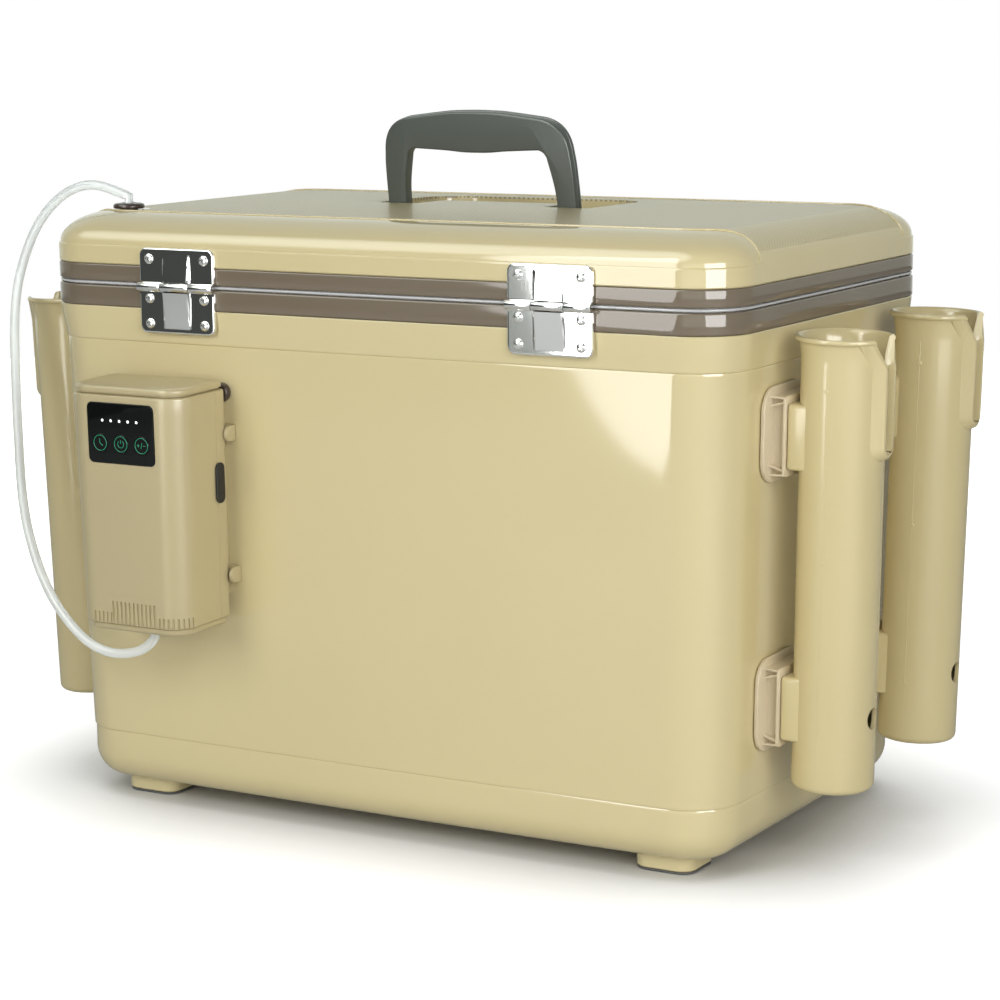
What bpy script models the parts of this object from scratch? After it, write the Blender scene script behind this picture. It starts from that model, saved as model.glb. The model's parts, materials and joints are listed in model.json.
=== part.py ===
"""Insulated live-bait box with a hinged lid, four rod holders and a battery air pump.

X runs along the box, -Y is the hinge side that carries the air pump, +Y is the latch side and
+Z is up. The origin is on the ground under the middle of the assembly. All sizes are metres.
"""
import math

import bmesh
import bpy
from mathutils import Matrix, Vector

CLEARANCE = 0.0003

# Box outline at the rim
RIM_LENGTH = 0.483
RIM_WIDTH = 0.303
CORNER_RADIUS = 0.034
FRONT_BOW = 0.0018
END_BOW = 0.0009

# Heights above the ground
TUB_UNDERSIDE = 0.010
BOTTOM_STEP = 0.045
SEAM = 0.335
COLLAR_BOTTOM = SEAM - 0.036
TUB_BAND_BOTTOM = SEAM - 0.0142
LID_BAND_TOP = SEAM + 0.0118
LID_STEP = SEAM + 0.024
PANEL_EDGE = SEAM + 0.0425
PANEL_CROWN = PANEL_EDGE + 0.002

# Tub walls
COLLAR_DRAFT = 0.0025
STEP_DEPTH = 0.0007
WALL_DRAFT = 0.026
BOTTOM_RADIUS = 0.020
SHELL_WALL = 0.003
BAND_WALL = 0.003
LINER_WALL = 0.0025
RIM_THICKNESS = 0.030
CAVITY_DRAFT = 0.020
CAVITY_RADIUS = 0.022
CAVITY_FLOOR = TUB_UNDERSIDE + 0.0305
CAVITY_FILLET = 0.015

# Lid
END_SHOULDER = 0.028
FRONT_ROLL = 0.034
PLUG_GAP = 0.003
PLUG_DEPTH = 0.014
GASKET_INSET = 0.0004
GASKET_WIDTH = 0.013
GASKET_THICKNESS = 0.002

# Handle and its well
HANDLE_LEAN = math.radians(10)
HANDLE_PIVOT_HEIGHT = PANEL_EDGE - 0.0075
HANDLE_REACH = 0.070
HANDLE_HALF_WIDTH = 0.0685
HANDLE_LEG_WIDTH = 0.013
HANDLE_GRIP_WIDTH = 0.024
HANDLE_THICKNESS = 0.009
HANDLE_PIN_RADIUS = 0.0028
WELL_HALF_WIDTH = HANDLE_HALF_WIDTH + 0.0085
WELL_FRONT = 0.0066
WELL_BACK = HANDLE_REACH + 0.012
WELL_DEPTH = 0.016
WELL_FRONT_CORNER = 0.005
WELL_BACK_CORNER = 0.026
WELL_WALL = 0.003
ISLAND_HALF_WIDTH = HANDLE_HALF_WIDTH - HANDLE_LEG_WIDTH - 0.0095
ISLAND_BACK = HANDLE_REACH - HANDLE_GRIP_WIDTH - 0.020

# Feet
FOOT_LENGTH = 0.038
FOOT_WIDTH = 0.036
FOOT_OUTER_X = RIM_LENGTH / 2 - 0.0365
FOOT_OUTER_Y = RIM_WIDTH / 2 - 0.0295
FOOT_RADIUS = 0.009
PAD_THICKNESS = 0.0025

# Hinges
HINGE_X = RIM_LENGTH / 2 - 0.111
HINGE_WIDTH = 0.056
HINGE_UPPER_HEIGHT = 0.024
HINGE_LOWER_HEIGHT = 0.029
HINGE_PLATE = 0.002
HINGE_BARREL_RADIUS = 0.003
HINGE_PIN_RADIUS = 0.0014
HINGE_CENTRE_KNUCKLE = 0.021
HINGE_CHANNEL_WIDTH = 0.019
HINGE_CHANNEL_RISE = 0.0012
HINGE_CORNER = 0.005

# Rod holders and their brackets
ROD_AXIS_OFFSET = 0.0385
ROD_Y = RIM_WIDTH / 2 - 0.0855
ROD_SPLAY = 0.019
ROD_BOTTOM = 0.0505
ROD_LENGTH = SEAM - 0.068
ROD_TOP_RADIUS = 0.0247
ROD_BOTTOM_RADIUS = 0.0243
ROD_WALL = 0.0025
ROD_FLOOR = 0.004
ROD_RIM_RADIUS = 0.0288
ROD_RIM_HEIGHT = 0.003
SLOT_WIDTH = 0.0105
SLOT_LENGTH = 0.062
NOTCH_DEPTH = 0.017
NOTCH_HALF_WIDTH = 0.016
LIP_WIDTH = 0.004
LIP_REACH = 0.0290
DRAIN_HOLE_RADIUS = 0.0065
DRAIN_HOLE_HEIGHT = 0.044
BRACKET_LOW = ROD_BOTTOM + 0.0475
BRACKET_HIGH = SEAM - 0.0765
BRACKET_PLATE_WIDTH = 0.058
BRACKET_PLATE_HEIGHT = 0.056
BRACKET_PLATE = 0.0025
BRACKET_CORNER = 0.014
BRACKET_DEPTH = 0.012
BRACKET_RIB_WIDTH = 0.042
BRACKET_CORE_WIDTH = 0.034
BRACKET_HEIGHT = 0.047
BRACKET_RIB = 0.004
BLOCK_WIDTH = 0.040
BLOCK_HEIGHT = 0.0385

# Air pump
PUMP_X = -RIM_LENGTH / 2 + 0.1035
PUMP_BOTTOM = SEAM - 0.203
PUMP_STANDOFF = 0.006
PUMP_WIDTH = 0.085
PUMP_TAPER = 0.002
PUMP_DEPTH = 0.051
PUMP_HEIGHT = 0.1425
PUMP_FRONT_RADIUS = 0.016
PUMP_BACK_RADIUS = 0.004
PUMP_WALL = 0.0024
CAP_INSET = 0.0015
TOP_CAP_HEIGHT = 0.0055
BOTTOM_CAP_INSET = 0.0025
BOTTOM_CAP_HEIGHT = 0.0045
PANEL_WIDTH = 0.0495
PANEL_HEIGHT = 0.037
PANEL_CORNER = 0.0035
PANEL_CENTRE = PUMP_HEIGHT - 0.0232
PANEL_THICKNESS = 0.0015
PANEL_POCKET = 0.0014
BUTTON_RADIUS = 0.0056
BUTTON_SPACING = 0.0155
BUTTON_DROP = 0.0062
BUTTON_PROUD = 0.0003
BUTTON_TRAVEL = 0.0006
BUTTON_LENGTH = 0.0062
PORT_WIDTH = 0.0085
PORT_HEIGHT = 0.025
PORT_CENTRE = 0.6 * PUMP_HEIGHT
PORT_FROM_BACK = 0.010
PORT_THICKNESS = 0.0011
PORT_BOSS = 0.0016
EAR_RADIUS = 0.005
EAR_THICKNESS = 0.0022
EAR_LOW = 0.026
EAR_HIGH = PUMP_HEIGHT - 0.028
HANGER_HEIGHT = 0.015
HANGER_CENTRE = PUMP_HEIGHT - 0.002
BARB_RADIUS = 0.0021
BARB_LENGTH = 0.003
BARB_X = 0.0035
BARB_FROM_BACK = 0.0307
MOTOR_HALF_WIDTH = PUMP_WIDTH / 2 - 0.0125
MOTOR_TOP = 0.435 * PUMP_HEIGHT
BOARD_BOTTOM = MOTOR_TOP + 0.008
BOARD_TOP = PUMP_HEIGHT - PUMP_WALL - 2 * CLEARANCE

# Air hose
HOSE_RADIUS = 0.003
HOSE_BORE_GAP = 0.0012
GROMMET_X = -RIM_LENGTH / 2 + 0.0385
GROMMET_Y = -RIM_WIDTH / 2 + 0.0485
GROMMET_RADIUS = 0.010
GROMMET_FLANGE = 0.0036
GROMMET_NECK_RADIUS = 0.006
LINER_HOLE_X = GROMMET_X + 0.009
LINER_HOLE_Y = GROMMET_Y + 0.006
# How far the hose swings away from the straight line between the grommet and the barb
HOSE_SWING = (
    (0.0, 0.0, 0.0076),
    (-0.0141, 0.0044, 0.0274),
    (-0.0346, 0.0088, 0.0492),
    (-0.0614, 0.0123, 0.0605),
    (-0.0868, 0.0136, 0.0570),
    (-0.1024, 0.0120, 0.0416),
    (-0.1074, 0.0112, 0.0343),
    (-0.1076, 0.0095, 0.0256),
    (-0.1006, 0.0008, -0.0054),
    (-0.0887, -0.0099, -0.0428),
    (-0.0677, -0.0160, -0.0686),
    (-0.0406, -0.0172, -0.0785),
    (-0.0206, -0.0143, -0.0686),
    (-0.0075, -0.0101, -0.0488),
    (-0.0019, -0.0051, -0.0291),
    (-0.0010, 0.0, -0.0050),
)

# Air stone
STONE_RADIUS = 0.011
STONE_LENGTH = 0.042
STONE_X = GROMMET_X + 0.053

# Latches
LATCH_X = RIM_LENGTH / 2 - 0.1115
LATCH_BASE_WIDTH = 0.040
LATCH_BASE_BOTTOM = SEAM - 0.039
LATCH_BASE_TOP = SEAM - 0.005
LATCH_PLATE = 0.0015
LATCH_PIVOT_OUT = 0.0085
LATCH_PIVOT_Z = SEAM - 0.017
LATCH_EAR_WIDTH = 0.012
LATCH_EAR_GAP = 0.026
LATCH_OPEN = math.radians(110)
LEVER_LENGTH = 0.046
LEVER_WIDTH = 0.024
LEVER_THICKNESS = 0.002
LEVER_PIN_RADIUS = 0.0015
BAIL_ARM = 0.0104
BAIL_LENGTH = 0.0395
BAIL_RADIUS = 0.00125
BAIL_HALF_WIDTH = 0.017
BAIL_LEAN = math.radians(25)
KEEPER_WIDTH = 0.028
KEEPER_REACH = 0.0105

# Mesh fineness
CORNER_STEPS = 5
FRONT_STEPS = 4
END_STEPS = 2
ROUND_STEPS = 24

for leftover in list(bpy.data.objects):
    bpy.data.objects.remove(leftover)

parts = bpy.data.collections.new("live_bait_box")
bpy.context.scene.collection.children.link(parts)
cutters = bpy.data.collections.new("cutters")
bpy.context.scene.collection.children.link(cutters)


def material(name, colour, roughness, metallic=0.0):
    """Return a Principled material with the given surface values."""
    made = bpy.data.materials.new(name)
    made.use_nodes = True
    surface = made.node_tree.nodes["Principled BSDF"]
    surface.inputs["Base Color"].default_value = (*colour, 1.0)
    surface.inputs["Roughness"].default_value = roughness
    surface.inputs["Metallic"].default_value = metallic
    return made


TAN = material("tan_plastic", (0.62, 0.55, 0.34), 0.25)
PUMP_TAN = material("pump_plastic", (0.58, 0.52, 0.38), 0.4)
BRACKET_TAN = material("bracket_plastic", (0.66, 0.57, 0.44), 0.45)
BAND_BROWN = material("band_plastic", (0.13, 0.10, 0.08), 0.3)
LINER_WHITE = material("liner_plastic", (0.80, 0.80, 0.77), 0.35)
FOAM = material("foam", (0.85, 0.80, 0.62), 0.9)
RUBBER = material("black_rubber", (0.02, 0.02, 0.02), 0.7)
BROWN_RUBBER = material("brown_rubber", (0.06, 0.045, 0.035), 0.5)
GASKET = material("gasket_rubber", (0.85, 0.86, 0.88), 0.5)
STEEL = material("stainless_steel", (0.75, 0.75, 0.76), 0.15, 1.0)
GREY = material("grey_plastic", (0.09, 0.10, 0.09), 0.4)
PANEL_BLACK = material("panel_black", (0.01, 0.01, 0.01), 0.1)
HOSE_CLEAR = material("clear_hose", (0.85, 0.90, 0.90), 0.15)
BOARD_GREEN = material("circuit_board", (0.03, 0.22, 0.08), 0.5)
BATTERY_BLUE = material("battery_wrap", (0.05, 0.15, 0.45), 0.4)
STONE_GREY = material("air_stone", (0.45, 0.55, 0.65), 0.95)

body_centre = bpy.data.objects.new("body_centre", None)
parts.objects.link(body_centre)


def add(name, mesh, surface=None, parent=body_centre, location=(0, 0, 0), rotation=(0, 0, 0)):
    """Place a mesh in the parts collection under its parent."""
    made = bpy.data.objects.new(name, mesh)
    if surface:
        mesh.materials.clear()
        mesh.materials.append(surface)
    made.location = location
    made.rotation_euler = rotation
    made.parent = parent
    parts.objects.link(made)
    return made


def guide(name, mesh, parent=body_centre, location=(0, 0, 0), rotation=(0, 0, 0)):
    """Place a mesh in the cutters collection, hidden from the finished part."""
    made = bpy.data.objects.new(name, mesh)
    made.location = location
    made.rotation_euler = rotation
    made.parent = parent
    made.hide_render = True
    made.display_type = "WIRE"
    cutters.objects.link(made)
    return made


def empty(name, location, rotation=(0, 0, 0), parent=body_centre):
    """Return an empty that carries a group of pieces."""
    made = bpy.data.objects.new(name, None)
    made.location = location
    made.rotation_euler = rotation
    made.parent = parent
    parts.objects.link(made)
    return made


def combine(target, tool, operation):
    """Join or cut the target with another mesh object."""
    change = target.modifiers.new(operation.lower(), "BOOLEAN")
    change.operation = operation
    change.object = tool


def solidify(target, thickness, offset=-1.0):
    """Give an open surface a wall, on its inner side unless offset is 1."""
    wall = target.modifiers.new("wall", "SOLIDIFY")
    wall.thickness = thickness
    wall.offset = offset
    wall.use_even_offset = True


def smooth(mesh, angle=35):
    """Shade a mesh smooth, with its edges sharp above the angle in degrees."""
    mesh.shade_smooth()
    mesh.set_sharp_from_angle(angle=math.radians(angle))
    return mesh


def finish(work, name, angle=35):
    """Turn a bmesh into a shaded mesh."""
    mesh = bpy.data.meshes.new(name)
    work.to_mesh(mesh)
    work.free()
    return smooth(mesh, angle)


def rounded_rectangle(half_x, half_y, radius, corner_steps=CORNER_STEPS, long_steps=1, short_steps=1):
    """Return the points of a rounded rectangle, anticlockwise from the front-left corner."""
    centres = ((-1, -1, 180), (1, -1, 270), (1, 1, 0), (-1, 1, 90))
    arcs = []
    for side_x, side_y, start in centres:
        centre_x = side_x * (half_x - radius)
        centre_y = side_y * (half_y - radius)
        arc = []
        for step in range(corner_steps + 1):
            angle = math.radians(start + 90 * step / corner_steps)
            arc.append((centre_x + radius * math.cos(angle), centre_y + radius * math.sin(angle)))
        arcs.append(arc)
    points = []
    for index, arc in enumerate(arcs):
        following = arcs[(index + 1) % 4][0]
        points.extend(arc)
        steps = long_steps if index % 2 == 0 else short_steps
        for step in range(1, steps):
            share = step / steps
            points.append(tuple(arc[-1][k] + share * (following[k] - arc[-1][k]) for k in (0, 1)))
    return points


def box_ring(inset_x, inset_y, z, radius):
    """Return one level of the box's outline, with its slightly bowed sides."""
    half_x = RIM_LENGTH / 2 - inset_x
    half_y = RIM_WIDTH / 2 - inset_y
    ring = []
    for x, y in rounded_rectangle(half_x, half_y, radius, CORNER_STEPS, FRONT_STEPS, END_STEPS):
        bowed_y = y * (1 - FRONT_BOW / half_y * (x / half_x) ** 2)
        bowed_x = x * (1 - END_BOW / half_x * (y / half_y) ** 2)
        ring.append(Vector((bowed_x, bowed_y, z)))
    return ring


def loft(name, rings, cap_bottom=True, cap_top=True, closed=False):
    """Skin a stack of rings, listed from the bottom up along the outside."""
    work = bmesh.new()
    levels = [[work.verts.new(point) for point in ring] for ring in rings]
    pairs = list(zip(levels, levels[1:]))
    if closed:
        pairs.append((levels[-1], levels[0]))
    for lower, upper in pairs:
        for index in range(len(lower)):
            after = (index + 1) % len(lower)
            work.faces.new((lower[index], lower[after], upper[after], upper[index]))
    if not closed and cap_bottom:
        work.faces.new(reversed(levels[0]))
    if not closed and cap_top:
        work.faces.new(levels[-1])
    if cap_bottom and cap_top:
        bmesh.ops.recalc_face_normals(work, faces=work.faces)
    return finish(work, name)


def prism(name, outline, low, high):
    """Extrude an outline in XY from one height to another."""
    rings = [[Vector((x, y, z)) for x, y in outline] for z in (low, high)]
    return loft(name, rings)


def block(name, low, high):
    """Return a box between two corners."""
    work = bmesh.new()
    bmesh.ops.create_cube(work, size=1.0)
    size = [high[k] - low[k] for k in range(3)]
    middle = [(high[k] + low[k]) / 2 for k in range(3)]
    bmesh.ops.scale(work, vec=size, verts=work.verts)
    bmesh.ops.translate(work, vec=middle, verts=work.verts)
    return finish(work, name)


def rod(name, radius, start, end, steps=ROUND_STEPS, end_radius=None):
    """Return a cylinder or cone frustum between two points."""
    start, end = Vector(start), Vector(end)
    work = bmesh.new()
    axis = end - start
    bmesh.ops.create_cone(
        work,
        cap_ends=True,
        segments=steps,
        radius1=radius,
        radius2=radius if end_radius is None else end_radius,
        depth=axis.length,
    )
    turn = Vector((0, 0, 1)).rotation_difference(axis).to_matrix().to_4x4()
    bmesh.ops.transform(work, matrix=Matrix.Translation((start + end) / 2) @ turn, verts=work.verts)
    return finish(work, name)


def turned(name, profile, steps=ROUND_STEPS):
    """Turn a profile of (radius, z) points, listed down its outer side, about the Z axis."""
    work = bmesh.new()
    points = [work.verts.new((radius, 0, z)) for radius, z in profile]
    for first, second in zip(points, points[1:]):
        work.edges.new((first, second))
    made = add(name, finish(work, name))
    screw = made.modifiers.new("turn", "SCREW")
    screw.steps = steps
    screw.render_steps = steps
    screw.use_merge_vertices = True
    screw.merge_threshold = 0.00001
    return made


def wire(name, points, radius, surface, parent, resolution=2):
    """Return a round bar along the points, as a closed mesh object."""
    curve = bpy.data.curves.new(name, "CURVE")
    curve.dimensions = "3D"
    curve.bevel_depth = radius
    curve.bevel_resolution = resolution
    curve.use_fill_caps = True
    spline = curve.splines.new("POLY")
    spline.points.add(len(points) - 1)
    for slot, point in zip(spline.points, points):
        slot.co = (*point, 1.0)
    source = bpy.data.objects.new(name + "_curve", curve)
    parts.objects.link(source)
    mesh = bpy.data.meshes.new_from_object(source.evaluated_get(bpy.context.evaluated_depsgraph_get()))
    bpy.data.objects.remove(source)
    work = bmesh.new()
    work.from_mesh(mesh)
    bmesh.ops.remove_doubles(work, verts=work.verts, dist=0.00001)
    return add(name, finish(work, name), surface, parent)


def bend(corner, before, after, radius, steps=5):
    """Return the points of a rounded corner between two neighbouring points."""
    corner, before, after = Vector(corner), Vector(before), Vector(after)
    start = corner + (before - corner).normalized() * radius
    end = corner + (after - corner).normalized() * radius
    return [
        (1 - t) ** 2 * start + 2 * t * (1 - t) * corner + t**2 * end
        for t in (step / steps for step in range(steps + 1))
    ]


def wall_inset(z):
    """Return how far the tub's drafted wall lies inside the rim at a height."""
    return COLLAR_DRAFT + STEP_DEPTH + (COLLAR_BOTTOM - z) * WALL_DRAFT


def corner_at(inset):
    """Return the outline's corner radius on the drafted wall."""
    return CORNER_RADIUS - 0.2 * inset


def front_face(x, inset=0.0):
    """Return the distance from the middle of the box to its bowed long face."""
    return RIM_WIDTH / 2 - inset - FRONT_BOW * (x / (RIM_LENGTH / 2)) ** 2


def build_tub():
    """Make the tub's outer shell, foam, liner, rim band and feet."""
    skirt = wall_inset(BOTTOM_STEP) + STEP_DEPTH
    rings = []
    for step in range(5):
        angle = math.radians(90 * step / 4)
        extra = BOTTOM_RADIUS * (1 - math.sin(angle))
        inset = skirt + extra
        height = TUB_UNDERSIDE + BOTTOM_RADIUS * (1 - math.cos(angle))
        rings.append(box_ring(inset, inset, height, corner_at(skirt) - extra))
    levels = (
        (skirt, BOTTOM_STEP - STEP_DEPTH),
        (wall_inset(BOTTOM_STEP), BOTTOM_STEP),
        (wall_inset(COLLAR_BOTTOM), COLLAR_BOTTOM),
        (COLLAR_DRAFT, COLLAR_BOTTOM + STEP_DEPTH),
        (0.0, TUB_BAND_BOTTOM - CLEARANCE),
    )
    rings += [box_ring(inset, inset, z, corner_at(inset)) for inset, z in levels]
    neck = BAND_WALL + CLEARANCE
    flange_under = SEAM - GASKET_THICKNESS / 2 - CLEARANCE - LINER_WALL
    shell_top = flange_under - CLEARANCE
    for z in (TUB_BAND_BOTTOM - CLEARANCE, shell_top):
        rings.append(box_ring(neck, neck, z, CORNER_RADIUS - neck))
    shell = add("tub_shell", loft("tub_shell", rings, cap_top=False), TAN)
    solidify(shell, SHELL_WALL)
    for side_x in (-1, 1):
        for side_y in (-1, 1):
            build_foot(shell, side_x, side_y)

    band_rings = [
        box_ring(0.0, 0.0, z, CORNER_RADIUS) for z in (TUB_BAND_BOTTOM, flange_under + LINER_WALL)
    ]
    band = add("tub_band", loft("tub_band", band_rings, False, False), BAND_BROWN)
    solidify(band, BAND_WALL)

    liner_rings = cavity_rings(0.0)
    flange_top = flange_under + LINER_WALL
    for inset, z in ((RIM_THICKNESS, flange_top - 0.003), (RIM_THICKNESS - 0.003, flange_top)):
        liner_rings.append(box_ring(inset, inset, z, CAVITY_RADIUS))
    liner_rings.append(box_ring(neck, neck, flange_top, CORNER_RADIUS - neck))
    liner = add("tub_liner", loft("tub_liner", liner_rings, cap_top=False), LINER_WHITE)
    solidify(liner, LINER_WALL, 1.0)

    gap = SHELL_WALL + 2 * CLEARANCE
    foam_rings = []
    for step in range(4):
        angle = math.radians(90 * step / 3)
        extra = BOTTOM_RADIUS * (1 - math.sin(angle))
        inset = skirt + gap + extra
        height = TUB_UNDERSIDE + gap + BOTTOM_RADIUS * (1 - math.cos(angle))
        foam_rings.append(box_ring(inset, inset, height, corner_at(skirt) - extra - gap))
    foam_top = shell_top
    shoulder = TUB_BAND_BOTTOM - gap - CLEARANCE - STEP_DEPTH
    outer_levels = (
        (wall_inset(COLLAR_BOTTOM) + gap, COLLAR_BOTTOM - gap),
        (neck + gap, shoulder - gap),
        (neck + gap, foam_top),
    )
    for inset, z in outer_levels:
        foam_rings.append(box_ring(inset, inset, z, CORNER_RADIUS - gap))
    inner = LINER_WALL + 2 * CLEARANCE
    for z in (foam_top, foam_top - 0.004):
        mouth = RIM_THICKNESS - inner - 0.0025
        foam_rings.append(box_ring(mouth, mouth, z, CAVITY_RADIUS + inner))
    foam_rings += reversed(cavity_rings(inner))
    add("tub_foam", loft("tub_foam", foam_rings), FOAM)


def cavity_rings(grow):
    """Return the tub cavity's filleted lower rings, with the whole cavity grown by a wall."""
    floor_inset = RIM_THICKNESS + (SEAM - CAVITY_FLOOR) * CAVITY_DRAFT
    rings = []
    for step in range(4):
        angle = math.radians(90 * step / 3)
        across = (CAVITY_FILLET + grow) * math.sin(angle)
        inset = floor_inset + CAVITY_FILLET - across
        height = CAVITY_FLOOR + CAVITY_FILLET - (CAVITY_FILLET + grow) * math.cos(angle)
        rings.append(box_ring(inset, inset, height, CAVITY_RADIUS - CAVITY_FILLET + across))
    return rings


def build_foot(shell, side_x, side_y):
    """Mould one foot onto the shell's underside and put a rubber pad under it."""
    name = f"{'left' if side_x < 0 else 'right'}_{'front' if side_y < 0 else 'back'}"
    outline = rounded_rectangle(FOOT_LENGTH / 2, FOOT_WIDTH / 2, FOOT_RADIUS, 4)
    place = (
        side_x * (FOOT_OUTER_X - FOOT_LENGTH / 2),
        side_y * (FOOT_OUTER_Y - FOOT_WIDTH / 2),
        0,
    )
    pad_top = PAD_THICKNESS
    foot = guide("foot_" + name, prism("foot", outline, pad_top + CLEARANCE, TUB_UNDERSIDE + 0.002))
    foot.location = place
    combine(shell, foot, "UNION")
    add("foot_pad_" + name, prism("foot_pad", outline, 0.0, pad_top), RUBBER, location=place)


def build_lid():
    """Make the lid's cover, band, liner, foam and gasket."""
    seat = SEAM + GASKET_THICKNESS / 2 + CLEARANCE
    neck = BAND_WALL + CLEARANCE
    ledge = LID_BAND_TOP + CLEARANCE
    rings = [
        box_ring(neck, neck, seat + CLEARANCE, CORNER_RADIUS - neck),
        box_ring(neck, neck, ledge, CORNER_RADIUS - neck),
        box_ring(0.0, 0.0, ledge, CORNER_RADIUS),
        box_ring(0.0, 0.0, LID_STEP - STEP_DEPTH, CORNER_RADIUS),
    ]
    rise = PANEL_EDGE - LID_STEP
    for step in range(6):
        angle = math.radians(90 * step / 5)
        run = 1 - math.cos(angle)
        inset_x = STEP_DEPTH + END_SHOULDER * run
        inset_y = STEP_DEPTH + FRONT_ROLL * run
        rings.append(box_ring(inset_x, inset_y, LID_STEP + rise * math.sin(angle), CORNER_RADIUS - 0.012 * run))
    dome = PANEL_CROWN - PANEL_EDGE
    for share in (0.3, 0.6, 0.85):
        inset_x = STEP_DEPTH + END_SHOULDER + share * (RIM_LENGTH / 2 - END_SHOULDER)
        inset_y = STEP_DEPTH + FRONT_ROLL + share * (RIM_WIDTH / 2 - FRONT_ROLL)
        radius = (CORNER_RADIUS - 0.012) * (1 - share)
        rings.append(box_ring(inset_x, inset_y, PANEL_EDGE + dome * (1 - (1 - share) ** 2), radius))
    cover = add("lid_cover", loft("lid_cover", rings, cap_bottom=False), TAN)
    solidify(cover, SHELL_WALL)

    band_rings = [box_ring(0.0, 0.0, z, CORNER_RADIUS) for z in (seat, LID_BAND_TOP)]
    band = add("lid_band", loft("lid_band", band_rings, False, False), BAND_BROWN)
    solidify(band, BAND_WALL)

    tuck = neck + SHELL_WALL + CLEARANCE
    plug = RIM_THICKNESS + PLUG_GAP
    plug_bottom = seat - PLUG_DEPTH
    liner_rings = [
        box_ring(plug + 0.004, plug + 0.004, plug_bottom, CAVITY_RADIUS - 0.004),
        box_ring(plug, plug, plug_bottom + 0.004, CAVITY_RADIUS),
        box_ring(plug, plug, seat, CAVITY_RADIUS),
        box_ring(tuck, tuck, seat, CORNER_RADIUS - tuck),
    ]
    liner = add("lid_liner", loft("lid_liner", liner_rings, cap_top=False), LINER_WHITE)
    solidify(liner, LINER_WALL)

    inner = LINER_WALL + 2 * CLEARANCE
    gap = SHELL_WALL + 2 * CLEARANCE
    foam_rings = [
        box_ring(plug + 0.004 + inner, plug + 0.004 + inner, plug_bottom + inner, CAVITY_RADIUS - 0.006),
        box_ring(plug + inner, plug + inner, plug_bottom + 0.004 + inner, CAVITY_RADIUS - 0.003),
        box_ring(plug + inner, plug + inner, seat + inner, CAVITY_RADIUS - 0.003),
        box_ring(tuck + CLEARANCE, tuck + CLEARANCE, seat + inner, CORNER_RADIUS - tuck),
        box_ring(tuck + CLEARANCE, tuck + CLEARANCE, LID_STEP - gap, CORNER_RADIUS - tuck),
    ]
    for step in (1, 2, 3, 4):
        angle = math.radians(90 * step / 4)
        run = 1 - math.cos(angle)
        height = LID_STEP - gap + rise * math.sin(angle)
        foam_rings.append(
            box_ring(tuck + CLEARANCE + END_SHOULDER * run, tuck + CLEARANCE + FRONT_ROLL * run, height, 0.02)
        )
    foam = add("lid_foam", loft("lid_foam", foam_rings), FOAM)

    gasket_rings = [
        box_ring(GASKET_INSET, GASKET_INSET, SEAM + side * GASKET_THICKNESS / 2, CORNER_RADIUS - GASKET_INSET)
        for side in (-1, 1)
    ]
    gasket = add("lid_gasket", loft("lid_gasket", gasket_rings, False, False), GASKET)
    solidify(gasket, GASKET_WIDTH)
    build_well(cover, foam)
    return cover, foam, liner


def well_outline(grow):
    """Return the well's plan, grown by a wall, around the island between the handle's legs."""
    half = WELL_HALF_WIDTH + grow
    corners = (
        (-1, -WELL_FRONT - grow, WELL_FRONT_CORNER + grow, 180, 3),
        (1, -WELL_FRONT - grow, WELL_FRONT_CORNER + grow, 270, 3),
        (1, WELL_BACK + grow, WELL_BACK_CORNER + grow, 0, 6),
        (-1, WELL_BACK + grow, WELL_BACK_CORNER + grow, 90, 6),
    )
    points = []
    for side, y, radius, start, steps in corners:
        centre_x = side * (half - radius)
        centre_y = y + radius if start >= 180 else y - radius
        for step in range(steps + 1):
            angle = math.radians(start + 90 * step / steps)
            points.append((centre_x + radius * math.cos(angle), centre_y + radius * math.sin(angle)))
    return points


def island_outline(grow=0.0):
    """Return the plan of the island, which runs out through the well's front wall."""
    front = -WELL_FRONT - WELL_WALL * 2
    half = ISLAND_HALF_WIDTH - grow
    back = ISLAND_BACK - grow
    middle = (front + back) / 2
    points = rounded_rectangle(half, (back - front) / 2, WELL_FRONT_CORNER, 3)
    return [(x, y + middle) for x, y in points]


def build_well(cover, foam):
    """Sink the handle's well into the cover and clear the foam under it."""
    floor = PANEL_CROWN - WELL_DEPTH
    under_skin = PANEL_EDGE - SHELL_WALL / 3
    casing = guide("well_casing", prism("well_casing", well_outline(WELL_WALL), floor - WELL_WALL, under_skin))
    cavity = guide("well_cavity", prism("well_cavity", well_outline(0.0), floor, PANEL_CROWN + 0.01))
    island = guide("well_island", prism("well_island", island_outline(), floor - 0.01, PANEL_CROWN + 0.02))
    combine(cavity, island, "DIFFERENCE")
    combine(cover, casing, "UNION")
    combine(cover, cavity, "DIFFERENCE")
    room = guide(
        "well_room",
        prism("well_room", well_outline(WELL_WALL + 2 * CLEARANCE), floor - WELL_WALL - 2 * CLEARANCE, PANEL_CROWN),
    )
    combine(foam, room, "DIFFERENCE")
    reach = WELL_HALF_WIDTH + WELL_WALL + 0.001
    socket = guide(
        "handle_socket",
        rod(
            "handle_socket",
            HANDLE_PIN_RADIUS + CLEARANCE,
            (-reach, 0, HANDLE_PIVOT_HEIGHT),
            (reach, 0, HANDLE_PIVOT_HEIGHT),
            16,
        ),
    )
    bridge = guide(
        "socket_keep_out",
        block(
            "socket_keep_out",
            (-ISLAND_HALF_WIDTH - 0.001, -0.01, HANDLE_PIVOT_HEIGHT - 0.01),
            (ISLAND_HALF_WIDTH + 0.001, 0.01, HANDLE_PIVOT_HEIGHT + 0.01),
        ),
    )
    combine(socket, bridge, "DIFFERENCE")
    combine(cover, socket, "DIFFERENCE")


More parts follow.
